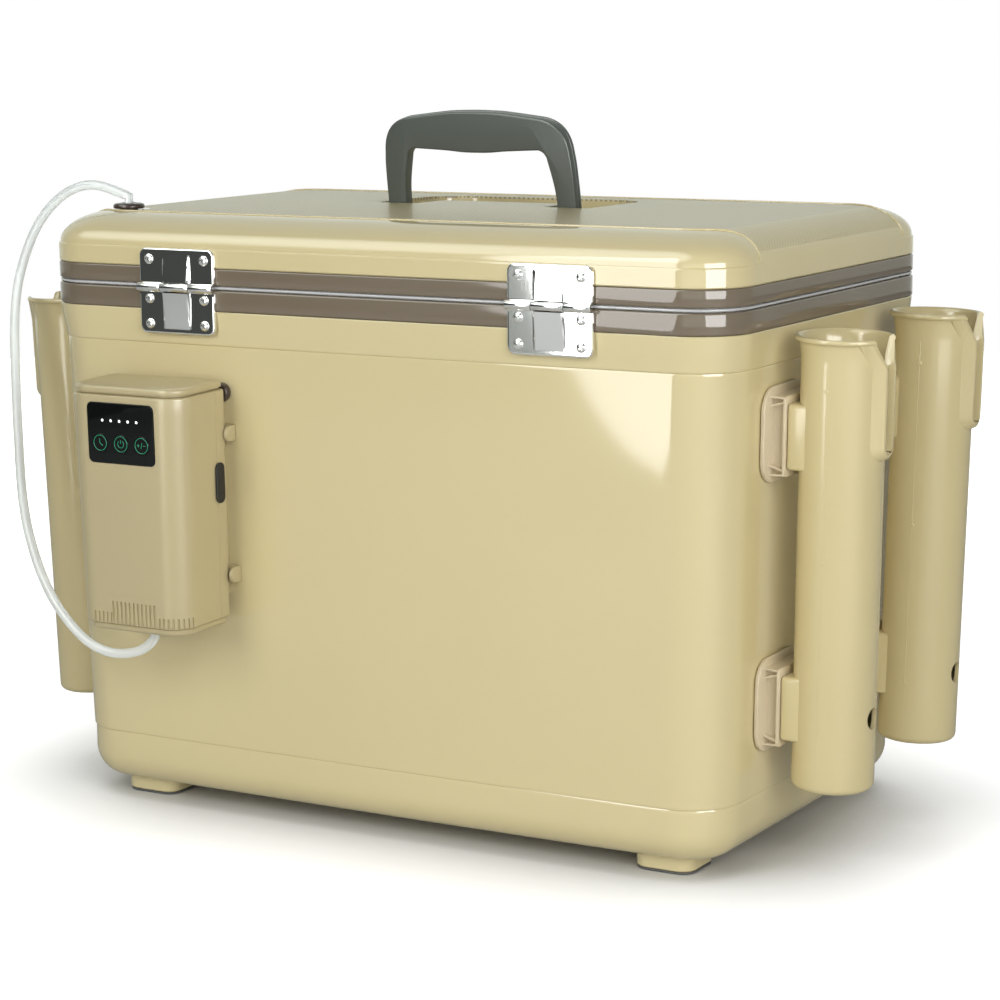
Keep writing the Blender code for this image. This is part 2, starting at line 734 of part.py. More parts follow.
def handle_outline():
    """Return the carrying handle's outline in its own plane, with the pivot line at zero."""
    outer = HANDLE_HALF_WIDTH
    top = HANDLE_REACH
    inner = outer - HANDLE_LEG_WIDTH
    foot = -0.0045
    right = [(inner, foot), (outer - 0.001, foot), (outer, 0.010), (outer - 0.0005, 0.034)]
    right += [(p.x, p.y) for p in bend((outer - 0.003, top - 0.0055, 0), (outer - 0.001, 0.038, 0), (0.030, top - 0.002, 0), 0.020)]
    right += [(0.022, top - 0.0008)]
    under = top - HANDLE_GRIP_WIDTH
    inside = [(0.0, under - 0.0022), (0.022, under - 0.0010)]
    inside += [(p.x, p.y) for p in bend((inner - 0.006, under, 0), (0.022, under, 0), (inner - 0.001, 0.020, 0), 0.006)]
    half = right + [(0.0, top)]
    mirrored = [(-x, y) for x, y in reversed(right)]
    inside_right = list(reversed(inside))
    inside_left = [(-x, y) for x, y in inside[1:]]
    return half + mirrored + list(reversed([*inside_right, *inside_left]))


def build_handle():
    """Make the carrying handle with its two moulded pivot pins."""
    pivot = empty("handle_pivot", (0, 0, HANDLE_PIVOT_HEIGHT), (HANDLE_LEAN, 0, 0))
    work = bmesh.new()
    outline = handle_outline()
    corners = [work.verts.new((x, -HANDLE_THICKNESS / 2, y)) for x, y in outline]
    face = work.faces.new(corners)
    moved = bmesh.ops.extrude_face_region(work, geom=[face])["geom"]
    lifted = [item for item in moved if isinstance(item, bmesh.types.BMVert)]
    bmesh.ops.translate(work, vec=(0, HANDLE_THICKNESS, 0), verts=lifted)
    bmesh.ops.recalc_face_normals(work, faces=work.faces)
    handle = add("handle", finish(work, "handle"), GREY, pivot)
    rounding = handle.modifiers.new("rounding", "BEVEL")
    rounding.width = 0.0025
    rounding.segments = 2
    rounding.limit_method = "ANGLE"
    rounding.angle_limit = math.radians(60)
    reach = WELL_HALF_WIDTH + WELL_WALL - CLEARANCE
    start = HANDLE_HALF_WIDTH - HANDLE_LEG_WIDTH / 2
    for side in (-1, 1):
        stub = guide(
            f"handle_stub_{side}",
            rod("handle_stub", HANDLE_PIN_RADIUS, (side * start, 0, 0), (side * reach, 0, 0), 16),
            pivot,
        )
        combine(handle, stub, "UNION")


def hinge_place():
    """Return the hinge pin's distance from the middle of the box and its height."""
    return front_face(HINGE_X) + CLEARANCE + HINGE_BARREL_RADIUS, SEAM - 0.0005


def build_hinges():
    """Make the two butt hinges: a lower leaf, an upper leaf and a pin each."""
    pin_out, pin_z = hinge_place()
    half = HINGE_WIDTH / 2
    back = -(pin_out - HINGE_BARREL_RADIUS)
    front = back - HINGE_PLATE
    knuckle_half = HINGE_CENTRE_KNUCKLE / 2
    barrel_gap = HINGE_BARREL_RADIUS + CLEARANCE
    for side, name in ((-1, "left"), (1, "right")):
        mount = empty(f"hinge_{name}", (side * HINGE_X, 0, 0))
        upper_leaf = hinge_leaf(
            f"hinge_upper_leaf_{name}", mount, front, back, pin_z + barrel_gap, pin_z + HINGE_UPPER_HEIGHT, half, 1
        )
        lower_leaf = hinge_leaf(
            f"hinge_lower_leaf_{name}", mount, front, back, pin_z - HINGE_LOWER_HEIGHT, pin_z - barrel_gap, half, -1
        )
        barrels = (
            (upper_leaf, -knuckle_half, knuckle_half, 1),
            (lower_leaf, -half, -knuckle_half - CLEARANCE, -1),
            (lower_leaf, knuckle_half + CLEARANCE, half, -1),
        )
        for index, (leaf, start, end, up) in enumerate(barrels):
            knuckle = guide(
                f"knuckle_{name}_{index}",
                rod("knuckle", HINGE_BARREL_RADIUS, (start, -pin_out, pin_z), (end, -pin_out, pin_z), 16),
                mount,
            )
            web = guide(
                f"web_{name}_{index}",
                block("web", (start, front, min(pin_z, pin_z + up * 0.005)), (end, back, max(pin_z, pin_z + up * 0.005))),
                mount,
            )
            combine(leaf, web, "UNION")
            combine(leaf, knuckle, "UNION")
        for leaf in (upper_leaf, lower_leaf):
            bore = guide(
                f"{leaf.name}_bore",
                rod(
                    "bore",
                    HINGE_PIN_RADIUS + CLEARANCE,
                    (-half - 0.001, -pin_out, pin_z),
                    (half + 0.001, -pin_out, pin_z),
                    12,
                ),
                mount,
            )
            combine(leaf, bore, "DIFFERENCE")
        pin = rod("hinge_pin", HINGE_PIN_RADIUS, (-half, -pin_out, pin_z), (half, -pin_out, pin_z), 12)
        add(f"hinge_pin_{name}", pin, STEEL, mount)


def hinge_leaf(name, mount, front, back, low, high, half, up):
    """Return one hinge leaf with round outer corners and a raised middle channel."""
    radius = HINGE_CORNER
    outer, inner = (high, low) if up > 0 else (low, high)
    outline = [(-half, inner), (half, inner)]
    for side in (1, -1):
        arc = []
        for step in range(5):
            angle = math.radians(90 * step / 4)
            arc.append(
                (side * (half - radius + radius * math.cos(angle)), outer - up * radius * (1 - math.sin(angle)))
            )
        outline += arc if side > 0 else list(reversed(arc))
    work = bmesh.new()
    face = work.faces.new([work.verts.new((x, back, z)) for x, z in outline])
    moved = bmesh.ops.extrude_face_region(work, geom=[face])["geom"]
    lifted = [item for item in moved if isinstance(item, bmesh.types.BMVert)]
    bmesh.ops.translate(work, vec=(0, front - back, 0), verts=lifted)
    bmesh.ops.recalc_face_normals(work, faces=work.faces)
    leaf = add(name, finish(work, name), STEEL, mount)
    channel_half = HINGE_CHANNEL_WIDTH / 2
    near, far = (low, high - 0.004) if up > 0 else (low + 0.003, high)
    channel = guide(
        name + "_channel",
        block(
            "channel",
            (-channel_half, front - HINGE_CHANNEL_RISE, near),
            (channel_half, (front + back) / 2, far),
        ),
        mount,
    )
    combine(leaf, channel, "UNION")
    return leaf


def build_rod_holders():
    """Make the four rod holders and the eight brackets that carry them."""
    tilt = math.atan(WALL_DRAFT)
    for side_x, side_name in ((-1, "left"), (1, "right")):
        for side_y, end_name in ((-1, "front"), (1, "back")):
            name = f"{side_name}_{end_name}"
            base_x = RIM_LENGTH / 2 - wall_inset(ROD_BOTTOM) + ROD_AXIS_OFFSET
            spin = 0 if side_x > 0 else math.pi
            carrier = empty(
                f"rod_carrier_{name}",
                (side_x * base_x, side_y * ROD_Y, ROD_BOTTOM),
                (-side_x * side_y * math.atan(ROD_SPLAY), tilt, spin),
            )
            build_rod_holder(f"rod_holder_{name}", carrier)
            for level, height in (("lower", BRACKET_LOW), ("upper", BRACKET_HIGH)):
                build_bracket(f"rod_bracket_{name}_{level}", carrier, height - ROD_BOTTOM)


def wall_distance(half_width):
    """Return a rod holder's axis distance from the flat back of a bracket on the bowed wall."""
    nearest = (ROD_Y - half_width) / (RIM_WIDTH / 2)
    return ROD_AXIS_OFFSET - CLEARANCE + END_BOW * nearest**2


def build_bracket(name, carrier, height):
    """Make one bracket: a wall plate, a core and two clip ribs above and below it."""
    back = -wall_distance(BRACKET_PLATE_WIDTH / 2)
    outline = rounded_rectangle(BRACKET_PLATE_WIDTH / 2, BRACKET_PLATE_HEIGHT / 2, BRACKET_CORNER, 4)
    rings = [
        [Vector((x, y, height + z)) for y, z in outline] for x in (back, back + BRACKET_PLATE)
    ]
    bracket = add(name, loft("rod_bracket", rings), BRACKET_TAN, carrier)
    front = back + BRACKET_DEPTH
    inside = back + BRACKET_PLATE / 2
    half = BRACKET_HEIGHT / 2
    core_half = BRACKET_CORE_WIDTH / 2
    rib_half = BRACKET_RIB_WIDTH / 2
    solids = (
        ((inside, -core_half, height - half + 0.001), (front, core_half, height + half - 0.001)),
        ((inside, -rib_half, height + half - BRACKET_RIB), (front, rib_half, height + half)),
        ((inside, -rib_half, height - half), (front, rib_half, height - half + BRACKET_RIB)),
    )
    for index, (low, high) in enumerate(solids):
        tool = guide(f"{name}_{index}", block("bracket_block", low, high), carrier)
        combine(bracket, tool, "UNION")


def build_rod_holder(name, carrier):
    """Make one rod holder: a tapered tube with a rolled rim, a notched slot and two blocks."""
    top = ROD_LENGTH
    rim = ROD_RIM_RADIUS
    fillet = 0.004
    profile = [
        (0.0, top),
        (rim - 0.001, top),
        (rim, top - ROD_RIM_HEIGHT / 2),
        (rim - 0.001, top - ROD_RIM_HEIGHT),
        (ROD_TOP_RADIUS + 0.0014, top - ROD_RIM_HEIGHT - 0.002),
        (ROD_TOP_RADIUS, top - ROD_RIM_HEIGHT - 0.012),
        (ROD_BOTTOM_RADIUS, fillet),
        (ROD_BOTTOM_RADIUS - 0.3 * fillet, 0.3 * fillet),
        (ROD_BOTTOM_RADIUS - fillet, 0.0),
        (0.0, 0.0),
    ]
    holder = turned(name, profile)
    holder.data.materials.append(TAN)
    holder.parent = carrier
    lip = guide(name + "_lip", slot_frame("slot_lip", top), carrier)
    combine(holder, lip, "UNION")
    for level, height in (("lower", BRACKET_LOW), ("upper", BRACKET_HIGH)):
        middle = height - ROD_BOTTOM
        start = -wall_distance(BRACKET_PLATE_WIDTH / 2) + BRACKET_DEPTH + CLEARANCE
        pad = guide(
            f"{name}_pad_{level}",
            block(
                "pad",
                (start, -BLOCK_WIDTH / 2, middle - BLOCK_HEIGHT / 2),
                (-ROD_BOTTOM_RADIUS / 2, BLOCK_WIDTH / 2, middle + BLOCK_HEIGHT / 2),
            ),
            carrier,
        )
        combine(holder, pad, "UNION")
    bore = guide(
        name + "_bore",
        rod(
            "bore",
            ROD_BOTTOM_RADIUS - ROD_WALL,
            (0, 0, ROD_FLOOR),
            (0, 0, top + 0.001),
            ROUND_STEPS,
            ROD_TOP_RADIUS - ROD_WALL,
        ),
        carrier,
    )
    combine(holder, bore, "DIFFERENCE")
    opening = guide(name + "_slot", slot_opening("slot_opening", top), carrier)
    combine(holder, opening, "DIFFERENCE")
    drain = guide(
        name + "_drain",
        rod("drain", DRAIN_HOLE_RADIUS, (0.005, 0, DRAIN_HOLE_HEIGHT), (0.05, 0, DRAIN_HOLE_HEIGHT), 16),
        carrier,
    )
    combine(holder, drain, "DIFFERENCE")


def slot_outline(top, half, notch_half, extra):
    """Return the slot's outline in YZ: straight sides, a round bottom and a notch at the rim."""
    bottom = top - SLOT_LENGTH
    outline = [(notch_half, top + extra), (-notch_half, top + extra), (-half, top - NOTCH_DEPTH)]
    for step in range(7):
        angle = math.radians(180 + 180 * step / 6)
        outline.append((half * math.cos(angle), bottom + half * math.sin(angle)))
    outline.append((half, top - NOTCH_DEPTH))
    return outline


def slot_frame(name, top):
    """Return the raised lip around the slot, which fades into the rim beside the notch."""
    half = SLOT_WIDTH / 2 + LIP_WIDTH
    outline = slot_outline(top, half, NOTCH_HALF_WIDTH + LIP_WIDTH, 0.0)
    start = ROD_TOP_RADIUS * 0.6
    outer = []
    for y, z in outline:
        at_rim = z > top - 0.001
        outer.append(Vector((ROD_RIM_RADIUS * 0.86 if at_rim else LIP_REACH, y, z)))
    rings = [[Vector((start, y, z)) for y, z in outline], outer]
    return loft(name, [list(reversed(ring)) for ring in rings])


def slot_opening(name, top):
    """Return the cutter for the slot and the notch above it."""
    outline = slot_outline(top, SLOT_WIDTH / 2, NOTCH_HALF_WIDTH, 0.002)
    rings = [[Vector((x, y, z)) for y, z in reversed(outline)] for x in (0.004, 0.05)]
    return loft(name, rings)


def pump_outline(grow, height=0.0):
    """Return the pump's plan at a height: round front corners, tight back corners, back at zero."""
    half = PUMP_WIDTH / 2 - PUMP_TAPER * (1 - height / PUMP_HEIGHT) + grow
    front = -PUMP_DEPTH - grow
    back = grow if grow < 0 else 0.0
    points = []
    corners = (
        (-half, front, PUMP_FRONT_RADIUS, 180, 6),
        (half, front, PUMP_FRONT_RADIUS, 270, 6),
        (half, back, PUMP_BACK_RADIUS, 0, 2),
        (-half, back, PUMP_BACK_RADIUS, 90, 2),
    )
    for x, y, base_radius, start, steps in corners:
        radius = max(base_radius + grow, 0.0005)
        centre_x = x - math.copysign(radius, x)
        centre_y = y + (radius if y == front else -radius)
        for step in range(steps + 1):
            angle = math.radians(start + 90 * step / steps)
            points.append((centre_x + radius * math.cos(angle), centre_y + radius * math.sin(angle)))
    return points


def pump_ring(grow, height, z, shift=0.0):
    """Return one level of the pump, with the points behind its middle moved back by shift."""
    return [
        Vector((x, y + (shift if y > -PUMP_DEPTH / 2 else 0.0), z))
        for x, y in pump_outline(grow, height)
    ]


def build_pump():
    """Make the air pump, parallel to the drafted front wall."""
    wall = front_face(PUMP_X, wall_inset(PUMP_BOTTOM))
    tilt = math.atan(WALL_DRAFT)
    carrier = empty("pump_carrier", (PUMP_X, -wall - PUMP_STANDOFF, PUMP_BOTTOM), (tilt, 0, 0))
    ends = (0.0, PUMP_HEIGHT)
    case = add("pump_case", loft("pump_case", [pump_ring(0.0, z, z) for z in ends]), PUMP_TAN, carrier)
    inner_ends = (PUMP_WALL, PUMP_HEIGHT - PUMP_WALL)
    open_back = PUMP_WALL + 0.002
    inside = [pump_ring(-PUMP_WALL, z, z, open_back) for z in inner_ends]
    hollow = guide("pump_hollow", loft("pump_hollow", inside), carrier)
    combine(case, hollow, "DIFFERENCE")

    panel_front = -PUMP_DEPTH
    floor = panel_front + PANEL_POCKET
    panel_shape = rounded_rectangle(PANEL_WIDTH / 2, PANEL_HEIGHT / 2, PANEL_CORNER, 4)
    grown = rounded_rectangle(
        PANEL_WIDTH / 2 + CLEARANCE, PANEL_HEIGHT / 2 + CLEARANCE, PANEL_CORNER + CLEARANCE, 4
    )
    pocket = guide("panel_pocket", upright_prism("panel_pocket", grown, floor, panel_front - 0.002), carrier)
    combine(case, pocket, "DIFFERENCE")
    back = floor - CLEARANCE
    panel = add(
        "control_panel",
        upright_prism("control_panel", panel_shape, back, back - PANEL_THICKNESS),
        PANEL_BLACK,
        carrier,
    )
    face = back - PANEL_THICKNESS
    button_z = PANEL_CENTRE - BUTTON_DROP
    for index, name in enumerate(("timer", "power", "speed")):
        x = (index - 1) * BUTTON_SPACING
        hole = guide(
            f"hole_{name}",
            rod("hole", BUTTON_RADIUS + CLEARANCE, (x, face - 0.002, button_z), (x, -PUMP_DEPTH + 0.006, button_z)),
            carrier,
        )
        combine(case, hole, "DIFFERENCE")
        combine(panel, hole, "DIFFERENCE")
        button_axis = empty(f"button_axis_{name}", (x, face - BUTTON_PROUD, button_z), parent=carrier)
        button = rod(f"button_{name}", BUTTON_RADIUS, (0, 0, 0), (0, BUTTON_LENGTH, 0))
        add(f"button_{name}", button, PANEL_BLACK, button_axis)

    build_pump_caps(carrier)
    build_pump_back(carrier, case)
    build_pump_inside(carrier, face)
    return carrier


def upright_prism(name, outline, back, front):
    """Extrude an outline in XZ, centred on the panel's height, between two depths."""
    rings = [[Vector((x, y, PANEL_CENTRE + z)) for x, z in outline] for y in (back, front)]
    return loft(name, rings)


def build_pump_caps(carrier):
    """Make the pump's domed top cap and its bottom cap with the hose outlet."""
    top = PUMP_HEIGHT + CLEARANCE
    levels = (
        (-CAP_INSET, top),
        (-CAP_INSET, top + TOP_CAP_HEIGHT - 0.002),
        (-CAP_INSET - 0.0018, top + TOP_CAP_HEIGHT),
    )
    rings = [pump_ring(grow, PUMP_HEIGHT, z) for grow, z in levels]
    add("pump_top_cap", loft("pump_top_cap", rings), PUMP_TAN, carrier)
    low = -CLEARANCE - BOTTOM_CAP_HEIGHT
    levels = (
        (-BOTTOM_CAP_INSET - 0.0015, low),
        (-BOTTOM_CAP_INSET, low + 0.0015),
        (-BOTTOM_CAP_INSET, -CLEARANCE),
    )
    rings = [pump_ring(grow, 0.0, z) for grow, z in levels]
    cap = add("pump_bottom_cap", loft("pump_bottom_cap", rings), PUMP_TAN, carrier)
    place = (BARB_X, -BARB_FROM_BACK)
    passage = guide(
        "barb_hole",
        rod("barb_hole", BARB_RADIUS + CLEARANCE, (*place, low - 0.002), (*place, PUMP_WALL + 0.002), 16),
        carrier,
    )
    combine(cap, passage, "DIFFERENCE")
    combine(bpy.data.objects["pump_case"], passage, "DIFFERENCE")
    barb = rod("hose_barb", BARB_RADIUS, (*place, low - BARB_LENGTH), (*place, PUMP_WALL + 0.002), 16)
    add("hose_barb", barb, LINER_WHITE, carrier)


def build_pump_back(carrier, case):
    """Make the pump's back cover, wall bracket, hanger and charging port cover."""
    half = PUMP_WIDTH / 2
    inset = PUMP_WALL + CLEARANCE
    cover_ends = (inset, PUMP_HEIGHT - inset)
    outline = []
    for z in cover_ends:
        reach = half - PUMP_TAPER * (1 - z / PUMP_HEIGHT) - inset
        outline.append([Vector((x, y, z)) for x, y in ((-reach, -PUMP_WALL), (reach, -PUMP_WALL), (reach, 0.0), (-reach, 0.0))])
    add("pump_back", loft("pump_back", outline), GREY, carrier)

    plate_back = PUMP_STANDOFF - CLEARANCE
    plate_half = half + CLEARANCE + EAR_THICKNESS
    plate_top = HANGER_CENTRE - HANGER_HEIGHT / 2 - CLEARANCE
    bracket = add(
        "pump_bracket",
        block("pump_bracket", (-half + 0.006, CLEARANCE, 0.012), (half - 0.006, plate_back, plate_top)),
        PUMP_TAN,
        carrier,
    )
    for index, height in enumerate((EAR_LOW, EAR_HIGH)):
        bar = guide(
            f"bracket_bar_{index}",
            block(
                "bracket_bar",
                (-plate_half, CLEARANCE, height - EAR_RADIUS),
                (plate_half, plate_back - CLEARANCE, height + EAR_RADIUS),
            ),
            carrier,
        )
        combine(bracket, bar, "UNION")
        for side in (-1, 1):
            near = side * (half + CLEARANCE)
            far = side * (half + CLEARANCE + EAR_THICKNESS)
            ear = guide(
                f"bracket_ear_{index}_{side}",
                rod("bracket_ear", EAR_RADIUS, (near, 0.0, height), (far, 0.0, height), 16),
                carrier,
            )
            combine(bracket, ear, "UNION")
    outline = rounded_rectangle(half, HANGER_HEIGHT / 2, HANGER_HEIGHT / 2 - 0.0001, 6)
    rings = [
        [Vector((x, y, HANGER_CENTRE + z)) for x, z in outline] for y in (plate_back, CLEARANCE)
    ]
    add("pump_hanger", loft("pump_hanger", rings), RUBBER, carrier)

    middle_y = -PORT_FROM_BACK
    face = half - PUMP_TAPER * (1 - PORT_CENTRE / PUMP_HEIGHT)
    port = guide(
        "port_opening",
        block(
            "port_opening",
            (face - PUMP_WALL - 0.002, middle_y - 0.0026, PORT_CENTRE - 0.0075),
            (face + 0.002, middle_y + 0.0026, PORT_CENTRE + 0.0085),
        ),
        carrier,
    )
    combine(case, port, "DIFFERENCE")
    low = PORT_CENTRE - PORT_HEIGHT / 2
    outer = face + 2 * CLEARANCE + PORT_THICKNESS
    hinge_line = empty("port_cover_pivot", (outer, middle_y, low), parent=carrier)
    shape = rounded_rectangle(PORT_WIDTH / 2, PORT_HEIGHT / 2, PORT_WIDTH / 2 - 0.0003, 5)
    rings = [
        [Vector((x, y, PORT_HEIGHT / 2 + z)) for y, z in shape] for x in (-PORT_THICKNESS, 0.0)
    ]
    port_cover = add("port_cover", loft("port_cover", rings), RUBBER, hinge_line)
    boss = guide(
        "port_boss",
        block(
            "port_boss",
            (-PORT_THICKNESS - 2 * CLEARANCE - PORT_BOSS, -0.0020, PORT_HEIGHT / 2 - 0.0070),
            (-PORT_THICKNESS / 2, 0.0020, PORT_HEIGHT / 2 + 0.0070),
        ),
        hinge_line,
    )
    combine(port_cover, boss, "UNION")


def build_pump_inside(carrier, face):
    """Make the battery, circuit board and air pump motor inside the case."""
    board_front = face - BUTTON_PROUD + BUTTON_LENGTH + BUTTON_TRAVEL + CLEARANCE
    board_back = board_front + 0.0016
    half = MOTOR_HALF_WIDTH
    board = block("circuit_board", (-half, board_front, BOARD_BOTTOM), (half, board_back, BOARD_TOP))
    add("circuit_board", board, BOARD_GREEN, carrier)
    inside = -PUMP_WALL - CLEARANCE
    battery_low = (-half + 0.003, board_back + CLEARANCE, BOARD_BOTTOM + 0.002)
    battery_high = (half - 0.005, inside, BOARD_TOP - 0.0035)
    battery = block("battery", battery_low, battery_high)
    add("battery", battery, BATTERY_BLUE, carrier)
    motor = block("air_pump_motor", (-half, 0.011 - PUMP_DEPTH, 0.0115), (half, inside, MOTOR_TOP))
    motor_part = add("air_pump_motor", motor, GREY, carrier)
    outlet = guide(
        "motor_outlet",
        rod(
            "motor_outlet",
            BARB_RADIUS + 0.0015,
            (BARB_X, -BARB_FROM_BACK, PUMP_WALL + 0.002 + CLEARANCE),
            (BARB_X, -BARB_FROM_BACK, 0.02),
            16,
        ),
        carrier,
    )
    combine(motor_part, outlet, "UNION")


def build_hoses(cover, foam, liner):
    """Make the grommet, the inner tube with its air stone and the outer hose."""
    surface = panel_height(GROMMET_X, GROMMET_Y)
    place = (GROMMET_X, GROMMET_Y)
    neck = guide(
        "grommet_hole",
        rod("grommet_hole", GROMMET_NECK_RADIUS + CLEARANCE, (*place, LID_STEP), (*place, PANEL_CROWN + 0.01)),
    )
    combine(cover, neck, "DIFFERENCE")
    flange_low = surface + CLEARANCE
    flange_top = flange_low + GROMMET_FLANGE
    neck_bottom = surface - SHELL_WALL - 0.003
    grommet = turned(
        "hose_grommet",
        [
            (HOSE_RADIUS + CLEARANCE, flange_top),
            (GROMMET_RADIUS - 0.001, flange_top),
            (GROMMET_RADIUS, flange_top - 0.001),
            (GROMMET_RADIUS, flange_low),
            (GROMMET_NECK_RADIUS, flange_low),
            (GROMMET_NECK_RADIUS, neck_bottom),
            (HOSE_RADIUS + CLEARANCE, neck_bottom),
            (HOSE_RADIUS + CLEARANCE, flange_top),
        ],
    )
    grommet.data.materials.append(BROWN_RUBBER)
    grommet.location = (*place, 0)
    bore = guide(
        "hose_bore",
        rod(
            "hose_bore",
            HOSE_RADIUS + HOSE_BORE_GAP,
            (LINER_HOLE_X, LINER_HOLE_Y, SEAM - PLUG_DEPTH - 0.003),
            (*place, neck_bottom),
            16,
        ),
    )
    combine(foam, bore, "DIFFERENCE")
    combine(liner, bore, "DIFFERENCE")
    under_neck = guide(
        "grommet_room",
        rod(
            "grommet_room",
            GROMMET_NECK_RADIUS + 2 * CLEARANCE,
            (*place, neck_bottom - 2 * CLEARANCE),
            (*place, PANEL_CROWN),
        ),
    )
    combine(foam, under_neck, "DIFFERENCE")

    stone_z = CAVITY_FLOOR + STONE_RADIUS + CLEARANCE
    stone = rod(
        "air_stone",
        STONE_RADIUS,
        (STONE_X, GROMMET_Y + 0.016, stone_z),
        (STONE_X + STONE_LENGTH, GROMMET_Y + 0.016, stone_z),
    )
    add("air_stone", stone, STONE_GREY)
    join = flange_low
    drop = SEAM - PLUG_DEPTH - stone_z
    inner_route = [
        (*place, neck_bottom - 2 * CLEARANCE),
        (LINER_HOLE_X, LINER_HOLE_Y, SEAM - PLUG_DEPTH - 0.003),
        (LINER_HOLE_X + 0.006, LINER_HOLE_Y + 0.002, stone_z + 0.70 * drop),
        (LINER_HOLE_X + 0.008, LINER_HOLE_Y + 0.005, stone_z + 0.40 * drop),
        (LINER_HOLE_X + 0.009, LINER_HOLE_Y + 0.008, stone_z + 0.15 * drop),
        (LINER_HOLE_X + 0.020, LINER_HOLE_Y + 0.010, stone_z + 0.006),
        (STONE_X - CLEARANCE, GROMMET_Y + 0.016, stone_z),
    ]
    inner_points = [Vector((*place, join - CLEARANCE)), *smooth_route(inner_route, 24)]
    wire("inner_air_tube", inner_points, HOSE_RADIUS, HOSE_CLEAR, body_centre)
    outer_route = outer_hose_route(join)
    barb = barb_tip()
    outer_points = [Vector((*place, join + CLEARANCE)), *smooth_route(outer_route, 44)]
    outer_points.append(barb - Vector((0, 0, 0.003)))
    outer_points.append(barb - Vector((0, 0, 2 * CLEARANCE)))
    wire("air_tube", outer_points, HOSE_RADIUS, HOSE_CLEAR, body_centre)


def panel_height(x, y):
    """Return a height just above the lid's skin at a point near the panel's corner."""
    share_x = max(0.0, (abs(x) - (RIM_LENGTH / 2 - END_SHOULDER)) / END_SHOULDER)
    share_y = max(0.0, (abs(y) - (RIM_WIDTH / 2 - FRONT_ROLL)) / FRONT_ROLL)
    run = max(share_x, share_y)
    return LID_STEP + (PANEL_EDGE - LID_STEP) * math.sqrt(max(0.0, 1 - run**2)) + 0.0004


def outer_hose_route(start_z):
    """Return the hose's route from the grommet, out over the end and up to the pump's barb."""
    grommet = Vector((GROMMET_X, GROMMET_Y, start_z))
    barb = barb_tip()
    route = []
    for index, swing in enumerate(HOSE_SWING):
        share = index / (len(HOSE_SWING) - 1)
        route.append(grommet.lerp(barb, share) + Vector(swing))
    return route


def barb_tip():
    """Return the lower end of the pump's hose barb."""
    wall = front_face(PUMP_X, wall_inset(PUMP_BOTTOM))
    place = Matrix.Translation((PUMP_X, -wall - PUMP_STANDOFF, PUMP_BOTTOM))
    place @= Matrix.Rotation(math.atan(WALL_DRAFT), 4, "X")
    low = -CLEARANCE - BOTTOM_CAP_HEIGHT - BARB_LENGTH
    return place @ Vector((BARB_X, -BARB_FROM_BACK, low))


def smooth_route(points, count):
    """Read evenly spaced points from a Catmull-Rom curve through the route."""
    points = [Vector(point) for point in points]
    padded = [2 * points[0] - points[1], *points, 2 * points[-1] - points[-2]]
    fine = []
    for p0, p1, p2, p3 in zip(padded, padded[1:], padded[2:], padded[3:]):
        for step in range(12):
            t = step / 12
            fine.append(
                0.5
                * (
                    2 * p1
                    + (p2 - p0) * t
                    + (2 * p0 - 5 * p1 + 4 * p2 - p3) * t**2
                    + (3 * p1 - p0 - 3 * p2 + p3) * t**3
                )
            )
    fine.append(points[-1])
    lengths = [0.0]
    for first, second in zip(fine, fine[1:]):
        lengths.append(lengths[-1] + (second - first).length)
    picked = []
    index = 0
    for step in range(count):
        target = lengths[-1] * step / (count - 1)
        while index < len(fine) - 2 and lengths[index + 1] < target:
            index += 1
        span = lengths[index + 1] - lengths[index]
        picked.append(fine[index].lerp(fine[index + 1], (target - lengths[index]) / span))
    return picked


def build_latches():
    """Make the two draw latches, left open, with their keepers on the lid."""
    face = front_face(LATCH_X) + CLEARANCE
    for side, name in ((-1, "left"), (1, "right")):
        mount = empty(f"latch_{name}", (side * LATCH_X, face, 0))
        half = LATCH_BASE_WIDTH / 2
        base = add(
            f"latch_base_{name}",
            block("latch_base", (-half, 0, LATCH_BASE_BOTTOM), (half, LATCH_PLATE, LATCH_BASE_TOP)),
            STEEL,
            mount,
        )
        ear_low = LATCH_PIVOT_Z - LATCH_EAR_WIDTH / 2
        pin_hole = guide(
            f"latch_pin_hole_{name}",
            rod(
                "latch_pin_hole",
                LEVER_PIN_RADIUS + CLEARANCE,
                (-half, LATCH_PIVOT_OUT, LATCH_PIVOT_Z),
                (half, LATCH_PIVOT_OUT, LATCH_PIVOT_Z),
                12,
            ),
            mount,
        )
        for turn in (-1, 1):
            near = turn * LATCH_EAR_GAP / 2
            far = turn * (LATCH_EAR_GAP / 2 + LATCH_PLATE)
            ear = guide(
                f"latch_ear_{name}_{turn}",
                block(
                    "latch_ear",
                    (min(near, far), LATCH_PLATE / 2, ear_low),
                    (max(near, far), LATCH_PIVOT_OUT + 0.0035, ear_low + LATCH_EAR_WIDTH),
                ),
                mount,
            )
            combine(base, ear, "UNION")
        combine(base, pin_hole, "DIFFERENCE")
        pivot = empty(f"latch_pivot_{name}", (0, LATCH_PIVOT_OUT, LATCH_PIVOT_Z), (LATCH_OPEN, 0, 0), mount)
        build_lever(name, pivot)
        bail_pivot = empty(
            f"bail_pivot_{name}",
            (0, 0, -BAIL_ARM),
            (-LATCH_OPEN - BAIL_LEAN, 0, 0),
            pivot,
        )
        build_bail(name, bail_pivot)
        build_keeper(name, mount)


